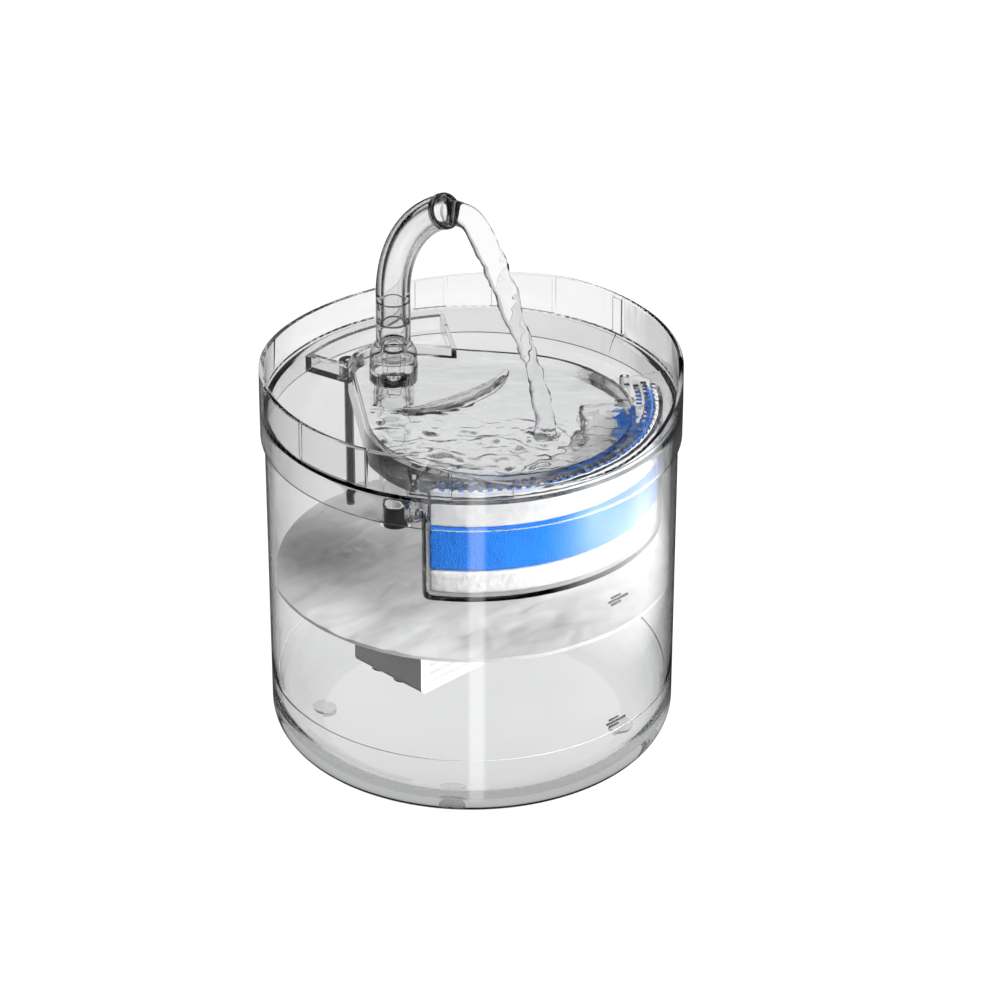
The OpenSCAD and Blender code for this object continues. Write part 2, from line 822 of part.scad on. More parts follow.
module impeller() {
    blades = 6;
    hub_y0 = volute_y0 + 0.5;
    hub_y1 = volute_y1 - 4.1;
    blade_t = 1;
    color([0.96, 0.96, 0.96])
        difference() {
            union() {
                rotor_rod(3, hub_y0, hub_y1);
                rotor_rod(impeller_r, hub_y1 - 1.2, hub_y1);
                for (i = [0 : blades - 1])
                    translate([rotor_x, hub_y0 + 0.5, rotor_z])
                        rotate([0, i * 360 / blades, 0])
                            translate([2, 0, -blade_t / 2])
                                cube([impeller_r - 2.5, hub_y1 - hub_y0 - 1, blade_t]);
            }
            rotor_rod(shaft_r + rotor_gap, hub_y0 - 1, hub_y1 + 1);
        }
}

module intake_cover() {
    louvres = 7;
    louvre_pitch = 4;
    louvre_h = 1.8;
    color([0.96, 0.97, 0.98])
        difference() {
            pump_block(pump_y0, house_y0 - 0.2, 0);
            pump_block(pump_y0 + pump_wall, house_y0, pump_wall);
            for (i = [0 : louvres - 1])
                translate([pump_x0 + 5, pump_y0 - 1,
                    rotor_z + (i - (louvres - 1) / 2) * louvre_pitch - louvre_h / 2])
                    cube([pump_w - 10, pump_wall + 2, louvre_h]);
        }
}

module intake_sponge() {
    sponge_inset = pump_wall + 0.4;
    color([0.2, 0.21, 0.22])
        pump_block(pump_y0 + pump_wall + 0.3, house_y0 - 0.6, sponge_inset);
}

tank();
foot_pads();
tray();
tray_rim();
riser_spigot();
spigot_ring();
riser_tube();
lead_guide();
lead_grommet();
faucet_stem();
faucet_neck();
spout_ring();
filter_box();
lower_cotton();
blue_sponge();
media_pack();
upper_cotton();
pump_housing();
pump_back_plate();
lead_gland();
stator_core();
stator_coil();
suction_cups();
outlet_nozzle();
outlet_sleeve();
volute_cover();
rotor_shaft();
shaft_bushes();
rotor_magnet();
impeller();
intake_cover();
intake_sponge();
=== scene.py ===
import json
import math

import bpy
import bmesh
from mathutils import Matrix, Vector


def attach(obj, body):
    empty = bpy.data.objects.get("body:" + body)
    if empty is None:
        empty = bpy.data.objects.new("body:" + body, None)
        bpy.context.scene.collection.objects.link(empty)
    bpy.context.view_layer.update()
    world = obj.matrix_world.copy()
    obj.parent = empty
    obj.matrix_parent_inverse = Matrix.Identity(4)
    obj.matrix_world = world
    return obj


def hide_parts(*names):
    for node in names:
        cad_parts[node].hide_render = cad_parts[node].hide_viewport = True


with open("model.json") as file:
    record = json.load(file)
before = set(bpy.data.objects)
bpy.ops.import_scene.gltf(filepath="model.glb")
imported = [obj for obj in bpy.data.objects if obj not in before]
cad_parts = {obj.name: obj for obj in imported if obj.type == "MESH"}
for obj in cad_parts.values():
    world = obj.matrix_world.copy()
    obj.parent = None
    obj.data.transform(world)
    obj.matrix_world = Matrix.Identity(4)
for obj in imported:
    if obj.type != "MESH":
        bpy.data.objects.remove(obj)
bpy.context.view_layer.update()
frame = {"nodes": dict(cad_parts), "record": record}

MM = 0.001
VIEW = (-45, 28.84)                  # the camera's azimuth and elevation, in degrees
AHEAD = (0.7071, 0.7071, 0)          # level, away from the camera
ASIDE = (0.7071, -0.7071, 0)         # level, to the camera's right
scene = bpy.context.scene

# Sizes in mm that several pieces or looks share.
WALL_R, WALL_Z = 82.4, 15.7          # the tank's outer wall where the foot's curve ends
WALL_FLARE, WALL_RISE = 1.4, 132.9   # how far it widens above that, and over what height
RISER_Y = 45.0                       # the axis of the riser and the faucet
BOWL_Y = -16                         # the middle of the round basin
TANK_LEVEL, BASIN_FLOOR, BASIN_LEVEL = 77.0, 139.3, 150.0
MERGE = 0.00001                      # points closer than this, in metres, become one
FLAT = 0.3                           # faces that differ by less than this, in degrees, become one


# ---------- camera, world and floor ----------
def look_along(azimuth, elevation):
    """Unit vector from a camera at these angles to what it looks at."""
    a, e = math.radians(azimuth), math.radians(elevation)
    return Vector((-math.sin(a) * math.cos(e), math.cos(a) * math.cos(e), -math.sin(e)))


def add_camera():
    """A long lens from far off; the aim is in mm from the axis, the distance in metres."""
    aim_height, aim_right, aim_up = 80, 11.57, 21.6
    distance, sensor, lens_per_sensor = 2.5, 36, 6.115
    data = bpy.data.cameras.new("camera")
    cam = bpy.data.objects.new("camera", data)
    scene.collection.objects.link(cam)
    forward = look_along(*VIEW)
    right = forward.cross(Vector((0, 0, 1))).normalized()
    up = right.cross(forward)
    aim = Vector((0, 0, aim_height * MM)) + right * aim_right * MM + up * aim_up * MM
    cam.location = aim - forward * distance
    cam.rotation_euler = Matrix((right, up, -forward)).transposed().to_euler()
    data.sensor_width = sensor
    data.lens = sensor * lens_per_sensor
    data.clip_start = 0.1
    data.clip_end = 50
    scene.camera = cam


add_camera()
scene.view_settings.view_transform = "Standard"
scene.cycles.max_bounces = 32
scene.cycles.transmission_bounces = 32
scene.cycles.transparent_max_bounces = 48
scene.cycles.glossy_bounces = 8
scene.cycles.diffuse_bounces = 4
scene.cycles.caustics_reflective = False
scene.cycles.caustics_refractive = False


def nodes_of(owner):
    """The owner's node tree, emptied."""
    owner.use_nodes = True
    tree = owner.node_tree
    tree.nodes.clear()
    return tree


def link(tree, a, b):
    """Joins an output to an input."""
    tree.links.new(a, b)


def math_node(tree, op, a, b=None, clamp=False):
    """One step of arithmetic on sockets or plain numbers."""
    n = tree.nodes.new("ShaderNodeMath")
    n.operation = op
    n.use_clamp = clamp
    for i, v in enumerate((a, b)):
        if v is None:
            continue
        if isinstance(v, (int, float)):
            n.inputs[i].default_value = v
        else:
            link(tree, v, n.inputs[i])
    return n.outputs[0]


def ramp_node(tree, value, stops):
    """A colour ramp from grey stops given as (place, grey)."""
    n = tree.nodes.new("ShaderNodeValToRGB")
    n.color_ramp.interpolation = "EASE"
    e = n.color_ramp.elements
    while len(e) < len(stops):
        e.new(0.5)
    for el, (pos, grey) in zip(e, stops):
        el.position = pos
        el.color = (grey, grey, grey, 1)
    link(tree, value, n.inputs[0])
    return n.outputs[0]


def dot_node(tree, vec, fixed):
    """How far a vector reaches along a fixed direction."""
    n = tree.nodes.new("ShaderNodeVectorMath")
    n.operation = "DOT_PRODUCT"
    link(tree, vec, n.inputs[0])
    n.inputs[1].default_value = fixed
    return n.outputs["Value"]


def mix_node(tree, factor, a, b):
    """A colour between a and b, each a socket or a grey value."""
    n = tree.nodes.new("ShaderNodeMix")
    n.data_type = "RGBA"
    link(tree, factor, n.inputs["Factor"])
    for label, v in (("A", a), ("B", b)):
        if isinstance(v, float):
            n.inputs[label].default_value = (v, v, v, 1)
        else:
            link(tree, v, n.inputs[label])
    return n.outputs["Result"]


def unreflected(tree, path):
    """1 for a ray that was never reflected, 0 for any other."""
    return math_node(tree, "SUBTRACT", 1.0, path.outputs["Glossy Depth"], clamp=True)


def glossy_or_clear(tree, path):
    """1 for a ray that comes from a reflection or through a clear part, 0 for any other."""
    return math_node(tree, "MAXIMUM", path.outputs["Is Glossy Ray"], path.outputs["Is Transmission Ray"])


def add_world():
    """White to the eye; gloss and glass see a bright wall at the back, soft panels above and dark walls
    elsewhere. Rays that were never reflected also see pale walls in front and at the sides."""
    world = bpy.data.worlds.new("world")
    scene.world = world
    tree = nodes_of(world)
    out = tree.nodes.new("ShaderNodeOutputWorld")
    path = tree.nodes.new("ShaderNodeLightPath")
    way = tree.nodes.new("ShaderNodeTexCoord").outputs["Generated"]

    def light_towards(direction, stops):
        """A patch of light in one direction, with soft edges."""
        return ramp_node(tree, dot_node(tree, way, direction), stops)

    wall = light_towards(look_along(*VIEW), [(0.50, 0.04), (0.66, 0.7), (0.95, 1.0)])
    panel = light_towards(Vector((-0.55, 0.05, 0.83)).normalized(), [(0.90, 0.0), (0.96, 1.0)])
    strip = light_towards(Vector((0.75, -0.55, 0.35)).normalized(), [(0.93, 0.0), (0.97, 0.9)])
    front = light_towards(look_along(135, 10), [(0.62, 0.0), (0.88, 0.7)])
    aside = math_node(tree, "ABSOLUTE", dot_node(tree, way, ASIDE))
    sides = ramp_node(tree, aside, [(0.70, 0.0), (0.97, 0.55)])
    straight = math_node(tree, "MULTIPLY", unreflected(tree, path), path.outputs["Is Transmission Ray"])
    through = math_node(tree, "MULTIPLY", math_node(tree, "MAXIMUM", front, sides), straight)
    seen = math_node(tree, "ADD", math_node(tree, "ADD", wall, panel), strip, clamp=True)
    seen = math_node(tree, "MAXIMUM", seen, through)
    room = mix_node(tree, glossy_or_clear(tree, path), 0.55, seen)
    glow = tree.nodes.new("ShaderNodeBackground")
    link(tree, mix_node(tree, path.outputs["Is Camera Ray"], room, 1.0), glow.inputs["Color"])
    link(tree, glow.outputs[0], out.inputs["Surface"])


add_world()


def add_lamp(name, place, size, watts):
    """A square lamp aimed at the tank; only what it lights is seen, not the lamp."""
    data = bpy.data.lights.new(name, "AREA")
    data.shape = "SQUARE"
    data.size = size
    data.energy = watts
    lamp = bpy.data.objects.new(name, data)
    scene.collection.objects.link(lamp)
    lamp.location = place
    aim = Vector((0, 0, 80 * MM))
    lamp.rotation_euler = (aim - Vector(place)).to_track_quat("-Z", "Y").to_euler()
    for ray in ("camera", "glossy", "transmission"):
        setattr(lamp, "visible_" + ray, False)


add_lamp("key", (0.12, -1.42, 0.75), 0.9, 57)
add_lamp("top", (-0.2, 0.3, 1.8), 1.4, 22)


def add_floor():
    """A pale floor that keeps a soft shadow. It is white to the eye. Through clear parts it is darker
    towards the sides; mirrored, it also shows a beam of light before the tank and a panel beside it."""
    bpy.ops.mesh.primitive_plane_add(size=12, location=(0, 0, -0.0002))
    floor = bpy.context.object
    floor.name = "floor"
    mat = bpy.data.materials.new("floor")
    tree = nodes_of(mat)
    out = tree.nodes.new("ShaderNodeOutputMaterial")
    path = tree.nodes.new("ShaderNodeLightPath")
    place = tree.nodes.new("ShaderNodeNewGeometry").outputs["Position"]
    ahead = dot_node(tree, place, AHEAD)
    side = dot_node(tree, place, ASIDE)

    def bands(value, stops, straight_stops):
        """Bands of light and dark over one metre; the second set is for rays that were never reflected."""
        spot = math_node(tree, "ADD", value, 0.5)
        straight = math_node(tree, "MULTIPLY", ramp_node(tree, spot, straight_stops), unreflected(tree, path))
        return math_node(tree, "MAXIMUM", ramp_node(tree, spot, stops), straight)

    along = bands(ahead, [(0.31, 0.03), (0.39, 0.75), (0.52, 0.92), (0.62, 1.0)],
                  [(0.0, 1.0), (0.20, 0.85), (0.30, 0.0)])
    across = bands(side, [(0.20, 0.05), (0.36, 1.0), (0.572, 1.0), (0.59, 0.65), (0.74, 0.05)],
                   [(0.0, 0.8), (0.12, 0.3), (0.20, 0.0), (0.74, 0.0), (0.86, 0.3), (1.0, 0.8)])
    distant = ramp_node(tree, ahead, [(0.55, 1.0), (1.0, 0.04)])
    seen = math_node(tree, "MULTIPLY", math_node(tree, "MULTIPLY", along, across), distant)

    def patch(u0, u1, v0, v1, soft):
        """A soft-edged rectangle on the floor between two places aside and two ahead, in metres."""
        edges = []
        for value, low, high in ((side, u0, u1), (ahead, v0, v1)):
            for a, sign in ((low, 1), (high, -1)):
                away = math_node(tree, "MULTIPLY", math_node(tree, "SUBTRACT", value, a), sign / soft)
                edges.append(math_node(tree, "ADD", away, 0.5, clamp=True))
        area = edges[0]
        for e in edges[1:]:
            area = math_node(tree, "MULTIPLY", area, e)
        return area

    def growing(value, rate, first):
        """A length that starts at first and grows with the value."""
        return math_node(tree, "ADD", math_node(tree, "MULTIPLY", value, rate), first)

    # The beam starts just before the tank, and widens and leans aside as it comes nearer.
    reach = math_node(tree, "SUBTRACT", -0.084, ahead)
    half = growing(reach, 0.10, 0.004)
    off = math_node(tree, "ABSOLUTE", math_node(tree, "SUBTRACT", side, growing(reach, 0.055, 0.0022)))
    inside = math_node(tree, "SUBTRACT", 1.0, math_node(tree, "DIVIDE", off, half))
    wedge = math_node(tree, "MULTIPLY", inside, 2.2, clamp=True)
    beam = math_node(tree, "MULTIPLY", wedge, patch(-0.3, 0.3, -0.38, -0.088, 0.01))
    beam = math_node(tree, "MULTIPLY", beam, 4.0)
    near = math_node(tree, "MULTIPLY", patch(0.09, 0.19, -0.12, 0.0, 0.06), 0.9)
    far = math_node(tree, "MULTIPLY", patch(0.21, 0.33, -0.20, 0.08, 0.11), 9.0)
    panel = math_node(tree, "ADD", near, far)
    outside = math_node(tree, "SUBTRACT", 1.0, path.outputs["Is Transmission Ray"])
    mirrored = math_node(tree, "MULTIPLY", path.outputs["Is Glossy Ray"], outside)
    gloss = math_node(tree, "MULTIPLY", math_node(tree, "ADD", beam, panel), mirrored)
    clear_share = math_node(tree, "SUBTRACT", 1.0, math_node(tree, "MULTIPLY", mirrored, 0.95))
    seen = math_node(tree, "ADD", math_node(tree, "MULTIPLY", seen, clear_share), gloss)
    glow = tree.nodes.new("ShaderNodeEmission")
    link(tree, mix_node(tree, path.outputs["Is Camera Ray"], seen, 1.0), glow.inputs["Color"])
    card = tree.nodes.new("ShaderNodeBsdfDiffuse")
    card.inputs["Color"].default_value = (0.95, 0.95, 0.95, 1)
    eye_share = math_node(tree, "MULTIPLY", path.outputs["Is Camera Ray"], 0.8)
    share = math_node(tree, "MAXIMUM", glossy_or_clear(tree, path), eye_share)
    shader = tree.nodes.new("ShaderNodeMixShader")
    link(tree, share, shader.inputs[0])
    link(tree, card.outputs[0], shader.inputs[1])
    link(tree, glow.outputs[0], shader.inputs[2])
    link(tree, shader.outputs[0], out.inputs["Surface"])
    floor.data.materials.append(mat)


add_floor()


# ---------- materials ----------
def group(name, inputs, outputs):
    """An empty node group with its sockets, and its input and output nodes."""
    tree = bpy.data.node_groups.new(name, "ShaderNodeTree")
    for label, kind, value in inputs:
        socket = tree.interface.new_socket(name=label, in_out="INPUT", socket_type=kind)
        if value is not None:
            socket.default_value = value
    for label, kind in outputs:
        tree.interface.new_socket(name=label, in_out="OUTPUT", socket_type=kind)
    return tree, tree.nodes.new("NodeGroupInput"), tree.nodes.new("NodeGroupOutput")


def noise_node(tree, vector, scale, detail=3.0, distortion=0.0):
    """Clouded noise."""
    n = tree.nodes.new("ShaderNodeTexNoise")
    n.inputs["Scale"].default_value = scale
    n.inputs["Detail"].default_value = detail
    n.inputs["Distortion"].default_value = distortion
    link(tree, vector, n.inputs["Vector"])
    return n.outputs["Fac"]


def scaled(tree, vector, factors, turned=0.0):
    """Coordinates stretched by a factor along each axis, and turned about the upright one in degrees."""
    n = tree.nodes.new("ShaderNodeMapping")
    n.inputs["Rotation"].default_value = (0, 0, math.radians(turned))
    n.inputs["Scale"].default_value = factors
    link(tree, vector, n.inputs["Vector"])
    return n.outputs["Vector"]


def map_node(tree, value, low, high, from_low=0.0, from_high=1.0):
    """A value's range laid over another."""
    n = tree.nodes.new("ShaderNodeMapRange")
    n.inputs["From Min"].default_value = from_low
    n.inputs["From Max"].default_value = from_high
    n.inputs["To Min"].default_value = low
    n.inputs["To Max"].default_value = high
    link(tree, value, n.inputs["Value"])
    return n.outputs["Result"]


def grey_node(tree, tone):
    """A value as a grey colour."""
    n = tree.nodes.new("ShaderNodeCombineColor")
    for i in range(3):
        link(tree, tone, n.inputs[i])
    return n.outputs[0]


def tint_node(tree, color, tone):
    """A colour multiplied by a grey value."""
    n = tree.nodes.new("ShaderNodeMix")
    n.data_type = "RGBA"
    n.blend_type = "MULTIPLY"
    n.inputs["Factor"].default_value = 1
    n.inputs["A"].default_value = (*color, 1)
    link(tree, grey_node(tree, tone), n.inputs["B"])
    return n.outputs["Result"]


def make_moulding():
    """Moulded plastic: slow clouds of tone and gloss, fine flow lines and a pebbled skin."""
    tree, given, out = group(
        "moulding",
        [("Vector", "NodeSocketVector", None), ("Tone", "NodeSocketFloat", 0.03),
         ("Gloss", "NodeSocketFloat", 0.2)],
        [("Tone", "NodeSocketFloat"), ("Roughness", "NodeSocketFloat"), ("Height", "NodeSocketFloat")])
    vector = given.outputs["Vector"]
    clouds = noise_node(tree, vector, 45, 3, 0.6)
    flow = noise_node(tree, scaled(tree, vector, (60, 60, 420)), 1.0, 2, 0.3)
    skin = noise_node(tree, vector, 2600, 2)
    swing = math_node(tree, "SUBTRACT", math_node(tree, "ADD", clouds, flow), 1.0)
    tone = math_node(tree, "MULTIPLY", swing, given.outputs["Tone"])
    link(tree, math_node(tree, "ADD", tone, 0.995, clamp=True), out.inputs["Tone"])
    gloss = math_node(tree, "MULTIPLY", math_node(tree, "ADD", clouds, 0.5), given.outputs["Gloss"])
    link(tree, gloss, out.inputs["Roughness"])
    link(tree, math_node(tree, "ADD", math_node(tree, "MULTIPLY", flow, 0.4), skin), out.inputs["Height"])
    return tree


def make_fibres():
    """Felted fibres: crossing bundles, small tufts and thin places. The tone follows the height: painted shade
    between the fibres and in the thin places.
    """
    tree, given, out = group(
        "fibres",
        [("Vector", "NodeSocketVector", None), ("Size", "NodeSocketFloat", 1.0)],
        [("Tone", "NodeSocketFloat"), ("Height", "NodeSocketFloat")])
    sized = tree.nodes.new("ShaderNodeVectorMath")
    sized.operation = "SCALE"
    link(tree, given.outputs["Vector"], sized.inputs[0])
    link(tree, given.outputs["Size"], sized.inputs["Scale"])
    vector = sized.outputs["Vector"]
    a = noise_node(tree, scaled(tree, vector, (260, 1900, 1100)), 1.0, 3, 1.5)
    b = noise_node(tree, scaled(tree, vector, (1700, 300, 900)), 1.0, 3, 1.5)
    tufts = noise_node(tree, vector, 130, 3, 0.4)
    hair = math_node(tree, "MAXIMUM", a, b)
    hair, tufts = math_node(tree, "MULTIPLY", hair, 0.7), math_node(tree, "MULTIPLY", tufts, 0.8)
    height = math_node(tree, "ADD", hair, tufts)
    link(tree, height, out.inputs["Height"])
    # Painted shade: lower places are darker.
    link(tree, map_node(tree, height, 0.74, 1.02, 0.55, 0.95), out.inputs["Tone"])
    return tree


def make_pores():
    """Open foam: a net of cells in two sizes with deep pores between the struts. The tone is lighter on the
    struts and darker in the pores, painted shade, with slow clouds of tone.
    """
    tree, given, out = group(
        "pores",
        [("Vector", "NodeSocketVector", None), ("Size", "NodeSocketFloat", 1.0)],
        [("Tone", "NodeSocketFloat"), ("Height", "NodeSocketFloat")])
    cells = []
    for size in (820, 1500):
        n = tree.nodes.new("ShaderNodeTexVoronoi")
        n.feature = "DISTANCE_TO_EDGE"
        link(tree, given.outputs["Vector"], n.inputs["Vector"])
        link(tree, math_node(tree, "MULTIPLY", given.outputs["Size"], size), n.inputs["Scale"])
        cells.append(map_node(tree, n.outputs["Distance"], 1.0, 0.0, 0.0, 0.45))
    clouds = noise_node(tree, given.outputs["Vector"], 120, 2)
    net = math_node(tree, "MAXIMUM", cells[0], math_node(tree, "MULTIPLY", cells[1], 0.8))
    link(tree, net, out.inputs["Height"])
    # Painted shade: the tone follows the net, so the pores are darker than the struts.
    struts, clouds = math_node(tree, "MULTIPLY", net, 0.55), math_node(tree, "MULTIPLY", clouds, 0.25)
    link(tree, math_node(tree, "ADD", math_node(tree, "ADD", struts, clouds), 0.42), out.inputs["Tone"])
    return tree


MOULDING, FIBRES, PORES = make_moulding(), make_fibres(), make_pores()


def use_group(tree, kind, vector, **values):
    """One of the three groups in a material, with its settings."""
    n = tree.nodes.new("ShaderNodeGroup")
    n.node_tree = kind
    link(tree, vector, n.inputs["Vector"])
    for label, value in values.items():
        n.inputs[label].default_value = value
    return n


def bump(tree, bsdf, height, distance, strength=0.6):
    """Raises a shader's skin by a height; distance in mm."""
    n = tree.nodes.new("ShaderNodeBump")
    n.inputs["Distance"].default_value = distance * MM
    n.inputs["Strength"].default_value = strength
    link(tree, height, n.inputs["Height"])
    link(tree, n.outputs["Normal"], bsdf.inputs["Normal"])


def base(name):
    """A material with its shader, its output and object coordinates."""
    mat = bpy.data.materials.new(name)
    tree = nodes_of(mat)
    out = tree.nodes.new("ShaderNodeOutputMaterial")
    bsdf = tree.nodes.new("ShaderNodeBsdfPrincipled")
    link(tree, bsdf.outputs[0], out.inputs["Surface"])
    coord = tree.nodes.new("ShaderNodeTexCoord")
    return mat, tree, bsdf, out, coord.outputs["Object"]


def see_through(tree, bsdf, out):
    """Lets lamp light pass straight through a clear shader."""
    path = tree.nodes.new("ShaderNodeLightPath")
    through = tree.nodes.new("ShaderNodeBsdfTransparent")
    shader = tree.nodes.new("ShaderNodeMixShader")
    link(tree, path.outputs["Is Shadow Ray"], shader.inputs[0])
    link(tree, bsdf.outputs[0], shader.inputs[1])
    link(tree, through.outputs[0], shader.inputs[2])
    link(tree, shader.outputs[0], out.inputs["Surface"])


CLEAR_TINT, BODY_TINT = (0.998, 0.999, 1.0), (0.2, 0.22, 0.24)
INK_PROUD, INK_REACH, INK_STRENGTH = 0.06, 6, 0.93


def inked_marks(tree, vector):
    """1 on the tank's raised level marks: in front, near x = 0, and proud of the flared wall."""
    split = tree.nodes.new("ShaderNodeSeparateXYZ")
    link(tree, vector, split.inputs[0])
    foot = (WALL_R + INK_PROUD) * MM - WALL_Z * MM * WALL_FLARE / WALL_RISE
    wall = math_node(tree, "MULTIPLY", split.outputs["Z"], WALL_FLARE / WALL_RISE)
    wall = math_node(tree, "ADD", wall, foot)
    proud = math_node(tree, "GREATER_THAN", math_node(tree, "MULTIPLY", split.outputs["Y"], -1.0), wall)
    near = math_node(tree, "LESS_THAN", math_node(tree, "ABSOLUTE", split.outputs["X"]), INK_REACH * MM)
    return math_node(tree, "MULTIPLY", proud, near)


def clear(name, tint, ior, rough=0.0, depth=0.0, edge=None, marks=False, wave=0.0, coat=0.0):
    """Clear plastic or water. depth: how fast its body takes light, per metre; edge: painted shade where the
    skin is seen edge-on: from which grazing view its colour turns dark, to which, and how dark; marks: the
    tank's raised level marks are inked; wave: height of fine waves in mm."""
    mat, tree, bsdf, out, vector = base(name)
    look = use_group(tree, MOULDING, vector, Tone=0.03, Gloss=rough)
    tone = look.outputs["Tone"]
    # Painted shade: the colour turns dark where the skin is seen edge-on.
    if edge:
        facing = tree.nodes.new("ShaderNodeLayerWeight")
        facing.inputs["Blend"].default_value = 0.5
        skin = ramp_node(tree, facing.outputs["Facing"], [(edge[0], 1.0), (edge[1], edge[2])])
        tone = math_node(tree, "MULTIPLY", tone, skin)
    if marks:
        ink = math_node(tree, "MULTIPLY", inked_marks(tree, vector), INK_STRENGTH)
        tone = math_node(tree, "MULTIPLY", tone, math_node(tree, "SUBTRACT", 1.0, ink))
    link(tree, tint_node(tree, tint, tone), bsdf.inputs["Base Color"])
    if rough:
        link(tree, look.outputs["Roughness"], bsdf.inputs["Roughness"])
    else:
        bsdf.inputs["Roughness"].default_value = 0
    bsdf.inputs["IOR"].default_value = ior
    bsdf.inputs["Transmission Weight"].default_value = 1
    bsdf.inputs["Coat Weight"].default_value = coat
    if wave:
        bump(tree, bsdf, noise_node(tree, vector, 90, 2), wave, 1.0)
    see_through(tree, bsdf, out)
    if depth:
        take = tree.nodes.new("ShaderNodeVolumeAbsorption")
        take.inputs["Color"].default_value = (*BODY_TINT, 1)
        take.inputs["Density"].default_value = depth
        link(tree, take.outputs[0], out.inputs["Volume"])
    return mat


def moulded(name, color, gloss, skin=0.02, tone=0.06):
    """Opaque moulded plastic, rubber, ceramic or ferrite."""
    mat, tree, bsdf, out, vector = base(name)
    look = use_group(tree, MOULDING, vector, Tone=tone, Gloss=gloss)
    link(tree, tint_node(tree, color, look.outputs["Tone"]), bsdf.inputs["Base Color"])
    link(tree, look.outputs["Roughness"], bsdf.inputs["Roughness"])
    bump(tree, bsdf, look.outputs["Height"], skin)
    return mat


def soft(name, color, kind, size, rough, deep):
    """Cotton or foam: its group of fibres or pores, with a little sheen and weak gloss."""
    mat, tree, bsdf, out, vector = base(name)
    look = use_group(tree, kind, vector, Size=size)
    link(tree, tint_node(tree, color, look.outputs["Tone"]), bsdf.inputs["Base Color"])
    bsdf.inputs["Roughness"].default_value = rough
    bsdf.inputs["Sheen Weight"].default_value = 0.15
    bsdf.inputs["Specular IOR Level"].default_value = 0.2
    bump(tree, bsdf, look.outputs["Height"], deep)
    return mat


def metal(name, color, pitch, axis, rough):
    """Stacked sheets or wound wire: fine parallel bands of light and dark along an axis."""
    mat, tree, bsdf, out, vector = base(name)
    bands = tree.nodes.new("ShaderNodeTexWave")
    bands.wave_type = "BANDS"
    bands.bands_direction = axis
    bands.inputs["Scale"].default_value = 1 / (pitch * MM) / 20 * math.pi
    bands.inputs["Distortion"].default_value = 0.4
    link(tree, vector, bands.inputs["Vector"])
    stain = noise_node(tree, vector, 300, 4, 0.5)
    shine, stained = map_node(tree, bands.outputs["Fac"], 0.55, 1.0), map_node(tree, stain, 0.75, 1.1)
    tone = math_node(tree, "MULTIPLY", shine, stained)
    link(tree, tint_node(tree, color, tone), bsdf.inputs["Base Color"])
    link(tree, map_node(tree, stain, rough * 0.7, rough * 1.4), bsdf.inputs["Roughness"])
    bsdf.inputs["Metallic"].default_value = 1
    bump(tree, bsdf, bands.outputs["Fac"], 0.1)
    return mat


LOOKS = {
    "clear_plastic": clear("clear plastic", CLEAR_TINT, ior=1.28, depth=9, edge=(0.78, 0.98, 0.1), coat=0.6),
    "clear_silicone": clear("clear silicone", (0.9, 0.9, 0.9), ior=1.42, rough=0.1, wave=0.02),
    "smoke_plastic": clear("smoke plastic", (0.22, 0.22, 0.22), ior=1.5),
    "black_rubber": moulded("black rubber", (0.02, 0.02, 0.022), 0.5, 0.03, 0.2),
    "white_cotton": soft("white cotton", (0.93, 0.93, 0.93), FIBRES, 1.0, 0.95, 0.5),
    "blue_foam": soft("blue foam", (0.03, 0.27, 1.0), PORES, 1.0, 0.8, 0.6),
    "grey_foam": soft("grey foam", (0.72, 0.72, 0.73), PORES, 0.8, 0.9, 0.8),
    "white_plastic": moulded("white plastic", (0.88, 0.88, 0.89), 0.3),
    "steel_laminations": metal("steel laminations", (0.42, 0.42, 0.44), 0.5, "Y", 0.35),
    "copper_winding": metal("copper winding", (0.75, 0.36, 0.2), 0.4, "Z", 0.3),
    "shaft_ceramic": moulded("shaft ceramic", (0.88, 0.88, 0.86), 0.15, 0.005, 0.03),
    "magnet_ferrite": moulded("magnet ferrite", (0.05, 0.05, 0.056), 0.45, 0.03, 0.25),
}
for sub in frame["record"]["subparts"]:
    node = frame["nodes"][sub["node"]]
    node.data.materials.clear()
    node.data.materials.append(LOOKS[sub["material_slot"]])
TANK_PLASTIC = clear("tank plastic", CLEAR_TINT, ior=1.18, depth=18, edge=(0.78, 0.97, 0.03), marks=True,
                     coat=0.7)
FAUCET_PLASTIC = clear("faucet plastic", CLEAR_TINT, ior=1.25, depth=8, edge=(0.50, 0.90, 0.02), coat=0.8)


# ---------- modelling helpers ----------
def deselect():
    """Leaves edit mode and deselects everything."""
    if bpy.context.object and bpy.context.object.mode != "OBJECT":
        bpy.ops.object.mode_set(mode="OBJECT")
    bpy.ops.object.select_all(action="DESELECT")


def activate(obj):
    """Makes one object the selected and active one."""
    deselect()
    obj.select_set(True)
    bpy.context.view_layer.objects.active = obj


def start(obj, name):
    """Names a new primitive and puts its place into its mesh."""
    obj.name = name
    obj.data.name = name
    activate(obj)
    bpy.ops.object.transform_apply(location=True, rotation=True, scale=True)
    return obj


def reshape(obj, turned=0, at=(0, 0), stretched=(1, 1, 1)):
    """Stretches a mesh, turns it about the upright axis in degrees and moves it in mm."""
    obj.scale = stretched
    obj.rotation_euler = (0, 0, math.radians(turned))
    obj.location = (at[0] * MM, at[1] * MM, 0)
    return start(obj, obj.name)


def around(r, degrees):
    """The place at a radius and an angle."""
    a = math.radians(degrees)
    return r * math.cos(a), r * math.sin(a)


def edit(obj, mode="EDGE"):
    """Edit mode with nothing selected."""
    activate(obj)
    bpy.ops.object.mode_set(mode="EDIT")
    bpy.ops.mesh.select_mode(type=mode)
    bpy.ops.mesh.select_all(action="DESELECT")


def done():
    """Back to object mode."""
    bpy.ops.object.mode_set(mode="OBJECT")


